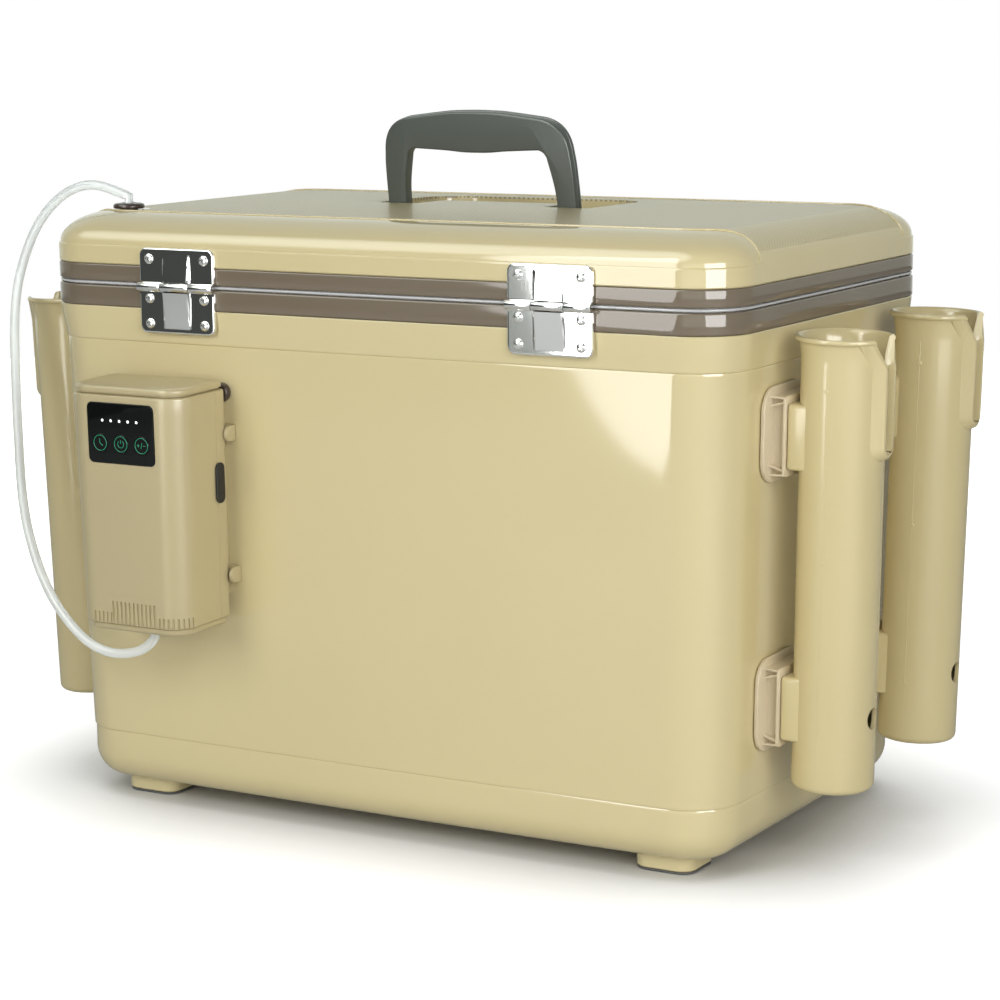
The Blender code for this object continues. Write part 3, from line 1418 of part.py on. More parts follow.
def build_lever(name, pivot):
    """Make a latch lever, hanging from its pivot when the latch is closed."""
    half = LEVER_WIDTH / 2
    thin = LEVER_THICKNESS / 2
    lever = add(
        f"latch_lever_{name}",
        block("latch_lever", (-half, -thin, -LEVER_LENGTH), (half, thin, 0.003)),
        STEEL,
        pivot,
    )
    boss = guide(
        f"lever_boss_{name}",
        block("lever_boss", (-half, -0.003, -BAIL_ARM - 0.003), (half, 0.003, 0.003)),
        pivot,
    )
    combine(lever, boss, "UNION")
    reach = LATCH_EAR_GAP / 2 + LATCH_PLATE
    pin = guide(f"lever_pin_{name}", rod("lever_pin", LEVER_PIN_RADIUS, (-reach, 0, 0), (reach, 0, 0), 12), pivot)
    combine(lever, pin, "UNION")
    hole = guide(
        f"bail_hole_{name}",
        rod(
            "bail_hole",
            BAIL_RADIUS + CLEARANCE,
            (-half - 0.001, 0, -BAIL_ARM),
            (half + 0.001, 0, -BAIL_ARM),
            12,
        ),
        pivot,
    )
    combine(lever, hole, "DIFFERENCE")


def build_bail(name, pivot):
    """Make the wire bail that hooks over the keeper."""
    half = BAIL_HALF_WIDTH
    tuck = LEVER_WIDTH / 2 - 0.004
    corners = [(-tuck, 0, 0), (-half, 0, 0), (-half, 0, BAIL_LENGTH), (half, 0, BAIL_LENGTH), (half, 0, 0), (tuck, 0, 0)]
    points = [Vector(corners[0])]
    for before, corner, after in zip(corners, corners[1:], corners[2:]):
        points += bend(corner, before, after, 0.003, 3)
    points.append(Vector(corners[-1]))
    wire(f"latch_bail_{name}", points, BAIL_RADIUS, STEEL, pivot)


def build_keeper(name, mount):
    """Make the keeper ledge on the lid that the bail's crossbar rests on."""
    half = KEEPER_WIDTH / 2
    crossbar = LATCH_PIVOT_Z - BAIL_ARM + BAIL_LENGTH
    ledge_top = crossbar - BAIL_RADIUS - CLEARANCE
    low = SEAM + GASKET_THICKNESS / 2 + 2 * CLEARANCE
    keeper = add(
        f"latch_keeper_{name}",
        block("latch_keeper", (-half, 0, low), (half, LATCH_PLATE, crossbar + 0.008)),
        STEEL,
        mount,
    )
    ledge = guide(
        f"keeper_ledge_{name}",
        block("keeper_ledge", (-half + 0.002, LATCH_PLATE / 2, ledge_top - 0.003), (half - 0.002, KEEPER_REACH, ledge_top)),
        mount,
    )
    combine(keeper, ledge, "UNION")


def centre_on_origin():
    """Slide the whole assembly so that its footprint, less the loose hose, is centred."""
    bpy.context.view_layer.update()
    depsgraph = bpy.context.evaluated_depsgraph_get()
    low = Vector((math.inf, math.inf))
    high = Vector((-math.inf, -math.inf))
    for piece in parts.objects:
        if piece.type != "MESH" or piece.name == "air_tube":
            continue
        shape = piece.evaluated_get(depsgraph)
        for vertex in shape.data.vertices:
            place = shape.matrix_world @ vertex.co
            low = Vector((min(low.x, place.x), min(low.y, place.y)))
            high = Vector((max(high.x, place.x), max(high.y, place.y)))
    middle = (low + high) / 2
    body_centre.location = (-middle.x, -middle.y, 0)


def build():
    """Build every piece of the bait box."""
    build_tub()
    cover, foam, liner = build_lid()
    build_handle()
    build_hinges()
    build_rod_holders()
    build_pump()
    build_hoses(cover, foam, liner)
    build_latches()
    centre_on_origin()


build()
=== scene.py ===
"""Finished look of the insulated live-bait box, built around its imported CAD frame."""

import json
import logging
import math
from dataclasses import dataclass
from enum import Enum
from typing import Callable, Sequence

import bpy
import numpy as np
from mathutils import Euler, Matrix, Vector

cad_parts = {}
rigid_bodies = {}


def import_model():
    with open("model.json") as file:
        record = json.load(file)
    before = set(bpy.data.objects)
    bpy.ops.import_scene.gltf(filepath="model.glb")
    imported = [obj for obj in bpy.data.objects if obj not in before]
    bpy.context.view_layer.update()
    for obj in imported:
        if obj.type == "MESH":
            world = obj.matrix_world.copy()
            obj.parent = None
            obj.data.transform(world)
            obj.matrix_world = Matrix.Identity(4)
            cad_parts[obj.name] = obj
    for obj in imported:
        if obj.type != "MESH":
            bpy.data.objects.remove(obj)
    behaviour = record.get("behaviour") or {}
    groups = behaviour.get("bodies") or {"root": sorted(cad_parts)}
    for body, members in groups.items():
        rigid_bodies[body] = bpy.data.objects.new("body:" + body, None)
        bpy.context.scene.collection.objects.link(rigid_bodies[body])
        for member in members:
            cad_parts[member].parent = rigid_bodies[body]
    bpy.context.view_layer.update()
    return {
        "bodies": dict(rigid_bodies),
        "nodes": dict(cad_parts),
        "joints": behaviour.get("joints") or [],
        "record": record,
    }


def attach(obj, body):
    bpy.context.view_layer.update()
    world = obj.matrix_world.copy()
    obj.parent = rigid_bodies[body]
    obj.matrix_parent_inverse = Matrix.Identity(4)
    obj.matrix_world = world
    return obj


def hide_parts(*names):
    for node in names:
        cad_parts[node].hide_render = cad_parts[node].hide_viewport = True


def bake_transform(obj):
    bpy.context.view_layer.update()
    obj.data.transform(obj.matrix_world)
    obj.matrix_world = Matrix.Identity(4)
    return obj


log = logging.getLogger("bait_box")
SIDE_SHIFT: float = 0.000494
CLEARANCE: float = 0.0003
SEAM: float = 0.335
Piece = bpy.types.Object
Socket = bpy.types.NodeSocket
Finish = bpy.types.Material
Point = tuple[float, float, float]
Flat = tuple[float, float]
Path = Sequence[Sequence[float]]
UPRIGHT = Matrix.Rotation(math.radians(90), 4, "X")


class Shading(Enum):
    """How a piece's faces are shaded, by the angle past which an edge stays sharp."""

    ROUND = math.radians(60)
    MOULDED = math.radians(32)


class Cut(Enum):
    """How one piece changes another."""

    AWAY = "DIFFERENCE"
    ONTO = "UNION"


# Bench tools


def linked(thing: Piece) -> Piece:
    """Put a new object into the scene."""
    bpy.context.scene.collection.objects.link(thing)
    return thing


def deselect() -> None:
    """Deselect every object."""
    for item in bpy.context.view_layer.objects.selected[:]:
        item.select_set(False)


def pick(piece: Piece) -> Piece:
    """Make one piece the only selected and the active object.

    Args:
        piece: The object to work on.

    Returns:
        The same object.
    """
    deselect()
    piece.select_set(True)
    bpy.context.view_layer.objects.active = piece
    return piece


def in_edit(piece: Piece, work: Callable[[], None]) -> None:
    """Run operators on the whole mesh in edit mode.

    Args:
        piece: The mesh object.
        work: The function that calls the operators.
    """
    pick(piece)
    bpy.ops.object.mode_set(mode="EDIT")
    bpy.ops.mesh.select_all(action="SELECT")
    work()
    bpy.ops.object.mode_set(mode="OBJECT")


def close_seams(piece: Piece, fill: bool = True, merge: float = 1e-6) -> None:
    """Merge doubles, fill the open ends and turn the faces outwards.

    Args:
        piece: The mesh object.
        fill: Whether open ends are filled.
        merge: The distance within which points are merged.
    """

    def work() -> None:
        """Call the operators."""
        bpy.ops.mesh.remove_doubles(threshold=merge)
        if fill:
            bpy.ops.mesh.fill_holes(sides=0)
            bpy.ops.mesh.select_all(action="SELECT")
        bpy.ops.mesh.normals_make_consistent(inside=False)

    in_edit(piece, work)


def modify(piece: Piece, kind: str, **values: object) -> Piece:
    """Add a modifier and apply it.

    Args:
        piece: The mesh object.
        kind: The modifier's type.
        values: The modifier's settings.

    Returns:
        The same object.
    """
    pick(piece)
    modifier = piece.modifiers.new(kind.lower(), kind)
    for key, value in values.items():
        setattr(modifier, key, value)
    bpy.ops.object.modifier_apply(modifier=modifier.name)
    return piece


def round_edges(piece: Piece, width: float, segments: int = 3, angle: float = 35) -> Piece:
    """Round the edges that are sharper than an angle.

    Args:
        piece: The mesh object.
        width: The width of the rounding, in metres.
        segments: How many faces cross it.
        angle: The angle in degrees.

    Returns:
        The same object.
    """
    return modify(
        piece, "BEVEL", width=width, segments=segments, limit_method="ANGLE",
        angle_limit=math.radians(angle), use_clamp_overlap=True, harden_normals=False,
    )


def drop(piece: Piece) -> None:
    """Remove a piece and its mesh.

    Args:
        piece: The piece.
    """
    mesh = piece.data
    bpy.data.objects.remove(piece)
    bpy.data.meshes.remove(mesh)


def carve(target: Piece, tool: Piece, cut: Cut = Cut.AWAY) -> Piece:
    """Combine a tool with a piece and remove the tool.

    Args:
        target: The piece that is kept.
        tool: The piece that cuts or joins it.
        cut: Whether the tool cuts or joins.

    Returns:
        The target.
    """
    modify(target, "BOOLEAN", object=tool, operation=cut.value, solver="EXACT")
    drop(tool)
    return target


def joined(first: Piece, *others: Piece) -> Piece:
    """Join meshes into one object.

    Args:
        first: The piece that is kept.
        others: The pieces that become part of it.

    Returns:
        The first piece.
    """
    pick(first)
    for other in others:
        other.select_set(True)
    if others:
        bpy.ops.object.join()
    return first


def copied(piece: Piece, matrix: Matrix) -> Piece:
    """Copy a piece, with a mesh of its own, to another place.

    Args:
        piece: The piece to copy.
        matrix: The copy's move.

    Returns:
        The copy.
    """
    twin = linked(piece.copy())
    twin.data = piece.data.copy()
    return placed(twin, matrix)


def placed(piece: Piece, matrix: Matrix) -> Piece:
    """Move a mesh's own points by a matrix.

    Args:
        piece: The mesh object.
        matrix: The move.

    Returns:
        The same object.
    """
    piece.data.transform(matrix)
    piece.data.update()
    return piece


def skinned(rings: Sequence, fill: bool = True, loop: bool = False) -> Piece:
    """Wrap a grid round a stack of closed rings.

    Args:
        rings: The levels, each with as many points.
        fill: Whether the two ends are closed.
        loop: Whether the last ring joins the first.

    Returns:
        The new piece.
    """
    stack = np.array(rings, float)
    if loop:
        stack = np.concatenate([stack, stack[:1]])
    levels, count = stack.shape[:2]
    deselect()
    bpy.ops.mesh.primitive_grid_add(x_subdivisions=count, y_subdivisions=levels - 1, size=2)
    piece = bpy.context.object
    flat = np.empty(len(piece.data.vertices) * 3)
    piece.data.vertices.foreach_get("co", flat)
    flat = flat.reshape(-1, 3)
    across = np.rint((flat[:, 0] + 1) / 2 * count).astype(int) % count
    along = np.rint((flat[:, 1] + 1) / 2 * (levels - 1)).astype(int)
    piece.data.vertices.foreach_set("co", stack[along, across].ravel())
    piece.data.uv_layers.remove(piece.data.uv_layers[0])
    close_seams(piece, fill and not loop)
    return piece


def extruded(outline: Path, move: Point) -> Piece:
    """Push a flat outline through a distance to make a prism.

    Args:
        outline: The outline's points.
        move: The push, in metres.

    Returns:
        The new piece.
    """
    deselect()
    bpy.ops.mesh.primitive_circle_add(vertices=len(outline), radius=1, fill_type="NGON")
    piece = bpy.context.object
    piece.data.vertices.foreach_set("co", np.array(outline, float).ravel())
    in_edit(piece, lambda: bpy.ops.mesh.extrude_region_move(TRANSFORM_OT_translate={"value": move}))
    close_seams(piece, False)
    return piece


def turned(profile: Sequence[Flat], steps: int = 64, loop: bool = False) -> Piece:
    """Turn a profile about the Z axis.

    Args:
        profile: The radius and height pairs, from the bottom up along the outside.
        steps: How many faces go round.
        loop: Whether the profile is closed.

    Returns:
        The new piece.
    """
    angles = np.linspace(0, 2 * math.pi, steps, endpoint=False)
    circle = np.stack([np.cos(angles), np.sin(angles)], 1)
    rings = [[(*(point * radius), height) for point in circle] for radius, height in profile]
    return skinned(rings, fill=not loop, loop=loop)


def piped(path: Path, radius: float, sides: int = 12, loop: bool = False) -> Piece:
    """Make a round bar along a path.

    Args:
        path: The points of its centreline.
        radius: Its radius, in metres.
        sides: How many faces go round.
        loop: Whether the path is closed.

    Returns:
        The new piece.
    """
    line = np.array(path, float)
    ahead = np.roll(line, -1, 0) - line
    behind = line - np.roll(line, 1, 0)
    if not loop:
        ahead[-1], behind[0] = behind[-1], ahead[0]
    way = ahead / np.linalg.norm(ahead, axis=1)[:, None] + behind / np.linalg.norm(behind, axis=1)[:, None]
    way /= np.linalg.norm(way, axis=1)[:, None]
    side = np.cross(way[0], (0.0, 0.0, 1.0) if abs(way[0][2]) < 0.9 else (1.0, 0.0, 0.0))
    angles = np.linspace(0, 2 * math.pi, sides, endpoint=False)
    rings = []
    for point, direction in zip(line, way):
        side = side - direction * side.dot(direction)
        side /= np.linalg.norm(side)
        up = np.cross(direction, side)
        rings.append([point + radius * (math.cos(a) * side + math.sin(a) * up) for a in angles])
    return skinned(rings, loop=loop)


def smooth_line(points: Path, count: int) -> np.ndarray:
    """Read evenly spaced points from a Catmull-Rom curve.

    Args:
        points: The curve's points, in two or three dimensions.
        count: How many points are read.

    Returns:
        An array with one row for each point.
    """
    given = np.array(points, float)
    padded = np.vstack([2 * given[0] - given[1], given, 2 * given[-1] - given[-2]])
    fine = []
    for p0, p1, p2, p3 in zip(padded, padded[1:], padded[2:], padded[3:]):
        for t in np.arange(12) / 12:
            square = 2 * p0 - 5 * p1 + 4 * p2 - p3
            cube = 3 * p1 - p0 - 3 * p2 + p3
            fine.append(0.5 * (2 * p1 + (p2 - p0) * t + square * t**2 + cube * t**3))
    fine = np.array([*fine, given[-1]])
    reach = np.concatenate([[0], np.cumsum(np.linalg.norm(np.diff(fine, axis=0), axis=1))])
    wanted = np.linspace(0, reach[-1], count)
    return np.stack([np.interp(wanted, reach, column) for column in fine.T], 1)


def block(low: Point, high: Point, rounding: float = 0.0, segments: int = 3) -> Piece:
    """Make a box, with rounded edges if a radius is given.

    Args:
        low: Its lowest corner.
        high: Its highest corner.
        rounding: The edges' radius.
        segments: How many faces cross an edge.

    Returns:
        The new piece.
    """
    deselect()
    middle = [(a + b) / 2 for a, b in zip(low, high)]
    bpy.ops.mesh.primitive_cube_add(size=1, location=middle, scale=[b - a for a, b in zip(low, high)])
    piece = bpy.context.object
    bpy.ops.object.transform_apply(location=True, rotation=True, scale=True)
    return round_edges(piece, rounding, segments) if rounding else piece


def rounded_outline(half_x: float, half_y: float, radii: object, steps: int = 8) -> list[Flat]:
    """Return a rounded rectangle, anticlockwise from the low-left corner.

    Args:
        half_x: Half its length.
        half_y: Half its width.
        radii: One corner radius, or four from low-left round.
        steps: How many edges make a corner.

    Returns:
        The outline's points.
    """
    four = [radii] * 4 if isinstance(radii, (int, float)) else list(radii)
    corners = ((-1, -1, 180), (1, -1, 270), (1, 1, 0), (-1, 1, 90))
    points = []
    for (sx, sy, start), radius in zip(corners, four):
        centre_x, centre_y = sx * (half_x - radius), sy * (half_y - radius)
        for step in range(steps + 1):
            angle = math.radians(start + 90 * step / steps)
            points.append((centre_x + radius * math.cos(angle), centre_y + radius * math.sin(angle)))
    return points


def quarter(steps: int) -> list[float]:
    """Return the angles of a quarter turn in equal steps, from zero."""
    return [math.radians(90 * step / steps) for step in range(steps + 1)]


def finished(
    piece: Piece, name: str, finish: Finish, body: str, stands_for: Sequence[str] = (),
    shading: Shading = Shading.MOULDED,
) -> Piece:
    """Give a piece its name, finish, shading and body.

    Args:
        piece: The new piece.
        name: Its final name.
        finish: Its material.
        body: The CAD body that it rides on, or nothing for a hose between two.
        stands_for: The CAD nodes that it replaces.
        shading: How its faces are shaded.

    Returns:
        The same piece.
    """
    piece.name = piece.data.name = name
    pick(piece)
    bpy.ops.object.shade_smooth_by_angle(angle=shading.value)
    piece.data.materials.clear()
    piece.data.materials.append(finish)
    if body:
        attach(piece, body)
    if stands_for:
        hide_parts(*stands_for)
    log.info("%s rides on %s", name, body or "two bodies")
    return piece


def seat_at(place: Point, turn: Point = (0.0, 0.0, 0.0)) -> Matrix:
    """Return the tilted local frame that a group of pieces is built in."""
    return Matrix.LocRotScale(Vector(place), Euler(turn), None)


# Finishes


@dataclass(frozen=True)
class Wires:
    """The node tree of a material, a group or the sky, wired up in short words."""

    tree: bpy.types.NodeTree

    def feed(self, socket: Socket, value: object) -> None:
        """Give an input its value.

        Args:
            socket: The input.
            value: A plain value, or another node's output.
        """
        if isinstance(value, Socket):
            self.tree.links.new(value, socket)
        else:
            socket.default_value = value

    def add(self, kind: str, inputs: dict, **settings: object) -> bpy.types.Node:
        """Add a node.

        Args:
            kind: Its kind, without the usual prefix.
            inputs: What its inputs get, by name or number.
            settings: Its own settings.

        Returns:
            The node.
        """
        node = self.tree.nodes.new(f"ShaderNode{kind}")
        for key, value in settings.items():
            setattr(node, key, value)
        for key, value in inputs.items():
            self.feed(node.inputs[key], value)
        return node

    def maths(self, operation: str, *values: object) -> Socket:
        """Return the result of an operation on numbers or outputs."""
        return self.add("Math", dict(enumerate(values)), operation=operation).outputs[0]

    def ranged(
        self, value: Socket, start: float, end: float, low: object = 0.0, high: object = 1.0,
        ease: str = "LINEAR",
    ) -> Socket:
        """Move a value from one range onto another.

        Args:
            value: The value.
            start: Where the first range starts.
            end: Where it ends.
            low: Where its start goes.
            high: Where its end goes.
            ease: The kind of step between them.

        Returns:
            The moved value.
        """
        spans = {"Value": value, "From Min": start, "From Max": end, "To Min": low, "To Max": high}
        return self.add("MapRange", spans, interpolation_type=ease).outputs[0]

    def mixed(self, low: object, high: object, share: object) -> Socket:
        """Blend two values by the share of the second."""
        return self.add("Mix", {0: share, 2: low, 3: high}).outputs[0]

    def tinted(self, low: object, high: object, share: object, blend: str = "MIX") -> Socket:
        """Blend two colours by the share of the second."""
        return self.add("Mix", {0: share, 6: low, 7: high}, data_type="RGBA", blend_type=blend).outputs[2]

    def place(self) -> Socket:
        """Return each point's place on its piece."""
        return self.add("TexCoord", {}).outputs["Object"]


class Shelf:
    """The shader node groups that several finishes share."""

    def __init__(self) -> None:
        """Build the groups once."""
        self.skin = self.moulded_skin()
        self.scuffs = self.fine_scuffs()

    @staticmethod
    def new_group(name: str, inputs: dict[str, float], outputs: Sequence[str]) -> tuple:
        """Start a node group.

        Args:
            name: The group's name.
            inputs: Its inputs with their usual values.
            outputs: The names of its outputs.

        Returns:
            The group's wires, its input node and its output node.
        """
        group = bpy.data.node_groups.new(name, "ShaderNodeTree")
        for key, value in inputs.items():
            socket = group.interface.new_socket(key, in_out="INPUT", socket_type="NodeSocketFloat")
            socket.default_value = value
        for key in outputs:
            group.interface.new_socket(key, in_out="OUTPUT", socket_type="NodeSocketFloat")
        return Wires(group), group.nodes.new("NodeGroupInput"), group.nodes.new("NodeGroupOutput")

    def moulded_skin(self) -> bpy.types.NodeTree:
        """Return the slight unevenness of moulded plastic: tone, gloss and height.

        Returns:
            The group.
        """
        names = {"Waves": 6.0, "Grain": 900.0, "Grain Depth": 0.15}
        wires, given, made = self.new_group("moulded_skin", names, ("Tone", "Gloss", "Height"))
        place = wires.place()
        noises = []
        for socket, detail in (("Waves", 2), ("Grain", 3)):
            inputs = {"Vector": place, "Scale": given.outputs[socket], "Detail": detail}
            noises.append(wires.add("TexNoise", inputs).outputs["Fac"])
        waves, grain = noises
        height = wires.maths("MULTIPLY_ADD", grain, given.outputs["Grain Depth"], waves)
        for socket, value in (("Tone", waves), ("Gloss", grain), ("Height", height)):
            wires.feed(made.inputs[socket], value)
        return wires.tree

    def fine_scuffs(self) -> bpy.types.NodeTree:
        """Return sparse fine rub marks as a mask.

        Returns:
            The group.
        """
        wires, given, made = self.new_group("fine_scuffs", {"Size": 60.0, "Amount": 0.5}, ("Mask",))
        stretch = wires.add("Mapping", {
            "Vector": wires.place(), "Scale": (1.0, 1.0, 7.0), "Rotation": (0.5, 0.35, 0.2)})
        noise = wires.add("TexNoise", {
            "Vector": stretch.outputs[0], "Scale": given.outputs["Size"], "Detail": 5, "Roughness": 0.7})
        mask = wires.ranged(noise.outputs["Fac"], 0.58, 0.72, high=given.outputs["Amount"])
        wires.feed(made.inputs["Mask"], mask)
        return wires.tree


@dataclass(frozen=True)
class Plastic:
    """A moulded finish: colour, gloss, and how uneven they are."""

    name: str
    colour: Point
    roughness: float = 0.25
    tone: float = 0.04
    waves: float = 6.0
    grain: float = 900.0
    grain_depth: float = 0.12
    bump: float = 0.04
    bump_reach: float = 0.0006
    coat: float = 0.0
    coat_roughness: float = 0.05
    specular: float = 0.5
    metallic: float = 0.0
    transmission: float = 0.0
    scuffs: float = 0.25
    gloss_spread: float = 0.15

    def make(self, shelf: Shelf) -> Finish:
        """Build the material.

        Args:
            shelf: The shared node groups.

        Returns:
            The material.
        """
        material = bpy.data.materials.new(self.name)
        material.use_nodes = True
        wires = Wires(material.node_tree)
        skin = wires.add("Group", {
            "Waves": self.waves, "Grain": self.grain, "Grain Depth": self.grain_depth}, node_tree=shelf.skin)
        tone = wires.ranged(skin.outputs["Tone"], 0, 1, 1 - self.tone, 1 + self.tone)
        rubbed = wires.add("Group", {"Amount": self.scuffs * self.roughness}, node_tree=shelf.scuffs)
        low, high = (self.roughness * (1 + way * self.gloss_spread) for way in (-1, 1))
        even = wires.ranged(skin.outputs["Gloss"], 0, 1, low, high)
        bump = wires.add("Bump", {
            "Strength": self.bump, "Distance": self.bump_reach, "Height": skin.outputs["Height"]})
        finish = {
            "Base Color": wires.tinted((*self.colour, 1), tone, 1.0, "MULTIPLY"),
            "Roughness": wires.maths("ADD", even, rubbed.outputs["Mask"]), "Normal": bump.outputs[0],
            "Metallic": self.metallic, "Coat Weight": self.coat, "Coat Roughness": self.coat_roughness,
            "Transmission Weight": self.transmission, "Specular IOR Level": self.specular,
        }
        for key, value in finish.items():
            wires.feed(wires.tree.nodes["Principled BSDF"].inputs[key], value)
        return material


@dataclass(frozen=True)
class LidGrain:
    """The fine grid of small pads, set cornerwise, on the lid's panel and over its ends, with painted shade
    in the gaps between pads.
    """

    pitch: float = 0.00255
    gap_edges: Flat = (0.06, 0.26)
    depth: float = 0.0003
    strength: float = 0.5
    panel_low: float = 0.3773
    end_low: float = 0.3655
    end_from: float = 0.2
    edge: float = 0.1166
    hook: float = 0.013
    hook_from: float = 0.196
    hook_to: float = 0.229
    roll_start: float = 0.2128
    roll_low: float = 0.359
    roll_stretch: float = 1.51
    roll_radius: float = 0.0237
    clear_at: Flat = (-0.203, -0.1025)
    clear_radius: float = 0.0135
    # Painted shade: colour factors on the pads and in the gaps between them, darkest in the gaps where shade
    # falls.
    pad_painted_shade: float = 0.98
    gap_painted_shade: float = 0.45
    roughening: float = 0.3
    end_share: float = 0.35

    def apply(self, material: Finish) -> None:
        """Add the grain's bump, the painted shade in the gaps between pads, and the roughness to a material.

        Args:
            material: The lid's material.
        """
        wires = Wires(material.node_tree)
        maths = wires.maths
        shader = wires.tree.nodes["Principled BSDF"]
        x, y, z = wires.add("SeparateXYZ", {0: wires.place()}).outputs
        far = maths("ABSOLUTE", x)
        down = maths("MULTIPLY", maths("SUBTRACT", z, self.roll_low), self.roll_stretch)
        angle = maths("ARCTAN2", maths("SUBTRACT", far, self.roll_start), down)
        flat_part = maths("MINIMUM", far, self.roll_start)
        along = maths("MULTIPLY_ADD", maths("MAXIMUM", angle, 0.0), self.roll_radius, flat_part)
        lines = []
        for operation in ("ADD", "SUBTRACT"):
            slant = maths(operation, along, y)
            cell = maths("PINGPONG", maths("DIVIDE", slant, self.pitch * math.sqrt(2)), 0.5)
            lines.append(wires.ranged(cell, *self.gap_edges, ease="SMOOTHSTEP"))
        pads = maths("MULTIPLY", *lines)
        bend = wires.ranged(far, self.hook_from, self.hook_to, ease="SMOOTHSTEP")
        hook = maths("MULTIPLY", bend, self.hook)
        side = maths("ABSOLUTE", maths("SUBTRACT", y, SIDE_SHIFT))
        inside = maths("LESS_THAN", side, maths("SUBTRACT", self.edge, hook))
        flat = maths("GREATER_THAN", z, self.panel_low)
        ends = maths("MULTIPLY", maths("GREATER_THAN", far, self.end_from),
                     maths("GREATER_THAN", z, self.end_low))
        away_x, away_y = (maths("SUBTRACT", value, middle) for value, middle in zip((x, y), self.clear_at))
        away = maths("ADD", maths("MULTIPLY", away_x, away_x), maths("MULTIPLY", away_y, away_y))
        clear = maths("GREATER_THAN", away, self.clear_radius**2)
        mask = maths("MULTIPLY", maths("MULTIPLY", inside, clear), maths("MAXIMUM", flat, ends))
        bump = wires.add("Bump", {
            "Strength": self.strength, "Distance": self.depth, "Height": maths("MULTIPLY", pads, mask),
            "Normal": shader.inputs["Normal"].links[0].from_socket})
        # Painted shade: the share of black that darkens the gaps between pads, as shade in them, with less of
        # it on the ends.
        shade = maths("MULTIPLY_ADD", pads, self.gap_painted_shade - self.pad_painted_shade, 1 - self.gap_painted_shade)
        top_share = maths("MULTIPLY_ADD", flat, 1 - self.end_share, self.end_share)
        painted_gap_share = maths("MULTIPLY", maths("MULTIPLY", mask, shade), top_share)
        plain = shader.inputs["Base Color"].links[0].from_socket
        smooth = shader.inputs["Roughness"].links[0].from_socket
        wires.feed(shader.inputs["Normal"], bump.outputs[0])
        wires.feed(shader.inputs["Base Color"], wires.tinted(plain, (0, 0, 0, 1), painted_gap_share))
        wires.feed(shader.inputs["Roughness"], maths("MULTIPLY_ADD", mask, self.roughening, smooth))


class Finishes:
    """Every finish on the box."""

    def __init__(self) -> None:
        """Build the shared groups and the materials."""
        shelf = Shelf()

        def made(name: str, colour: Point, roughness: float = 0.25, **more: float) -> Finish:
            """Make one moulded finish."""
            return Plastic(name, colour, roughness, **more).make(shelf)

        tan = (0.66, 0.565, 0.32)
        self.tan = made("tan_gloss", tan, 0.07, coat=0.25, bump=0.015)
        self.lid = made("lid_tan", tan, 0.07, coat=0.15, bump=0.015)
        LidGrain().apply(self.lid)
        self.rod_tan = made("rod_holder_tan", (0.62, 0.525, 0.29), 0.15, bump=0.04)
        self.pump_tan = made("pump_beige", (0.49, 0.415, 0.24), 0.3, bump=0.06)
        self.bracket = made("bracket_beige", (0.66, 0.565, 0.40), 0.4, bump=0.08)
        self.band = made("band_brown", (0.185, 0.148, 0.106), 0.07, bump=0.015)
        self.seal = made("white_seal", (0.50, 0.505, 0.51), 0.2)
        self.liner = made("white_liner", (0.80, 0.80, 0.76), 0.28)
        self.foam = made("wall_foam", (0.80, 0.73, 0.50), 0.9, bump=0.5, grain=500)
        self.rubber = made("black_rubber", (0.008, 0.008, 0.008), 0.5, bump=0.1)
        self.pad = made("foot_rubber", (0.10, 0.10, 0.098), 0.6, bump=0.1)
        self.brown = made("brown_rubber", (0.05, 0.032, 0.026), 0.2)
        self.grey = made("handle_grey", (0.078, 0.09, 0.08), 0.3, bump=0.12, grain_depth=0.3)
        self.steel = made("polished_steel", (0.80, 0.80, 0.79), 0.05, metallic=1.0, bump=0.015)
        self.glass = made("panel_gloss", (0.004, 0.005, 0.005), 0.05, specular=0.25, bump=0.0)
        self.hose = made("clear_hose", (0.95, 0.98, 0.98), 0.12, transmission=0.45, bump=0.0)
        self.board = made("green_board", (0.02, 0.16, 0.06), 0.4)
        self.battery = made("battery_wrap", (0.04, 0.11, 0.35), 0.3)
        self.stone = made("air_stone", (0.35, 0.45, 0.55), 0.95, bump=1.0, grain=700, grain_depth=1.0)
        self.lamp = self.glowing("lamp_white", (1.0, 1.0, 1.0), 1.1)
        # The green signs are print, yet glow a little: painted light.
        self.green = self.glowing("sign_green", (0.01, 0.22, 0.11), 0.5)

    @staticmethod
    def glowing(name: str, colour: Point, strength: float) -> Finish:
        """Return a printed or lit mark on the control panel.

        Args:
            name: The material's name.
            colour: Its colour.
            strength: How strongly it glows.

        Returns:
            The material.
        """
        material = bpy.data.materials.new(name)
        material.use_nodes = True
        wires = Wires(material.node_tree)
        noise = wires.add("TexNoise", {"Vector": wires.place(), "Scale": 1500}).outputs["Fac"]
        worn = wires.tinted((*(0.8 * value for value in colour), 1), (*colour, 1), noise)
        finish = {
            "Base Color": worn, "Emission Color": worn, "Emission Strength": strength, "Roughness": 0.25}
        for key, value in finish.items():
            wires.feed(wires.tree.nodes["Principled BSDF"].inputs[key], value)
        return material


# The box


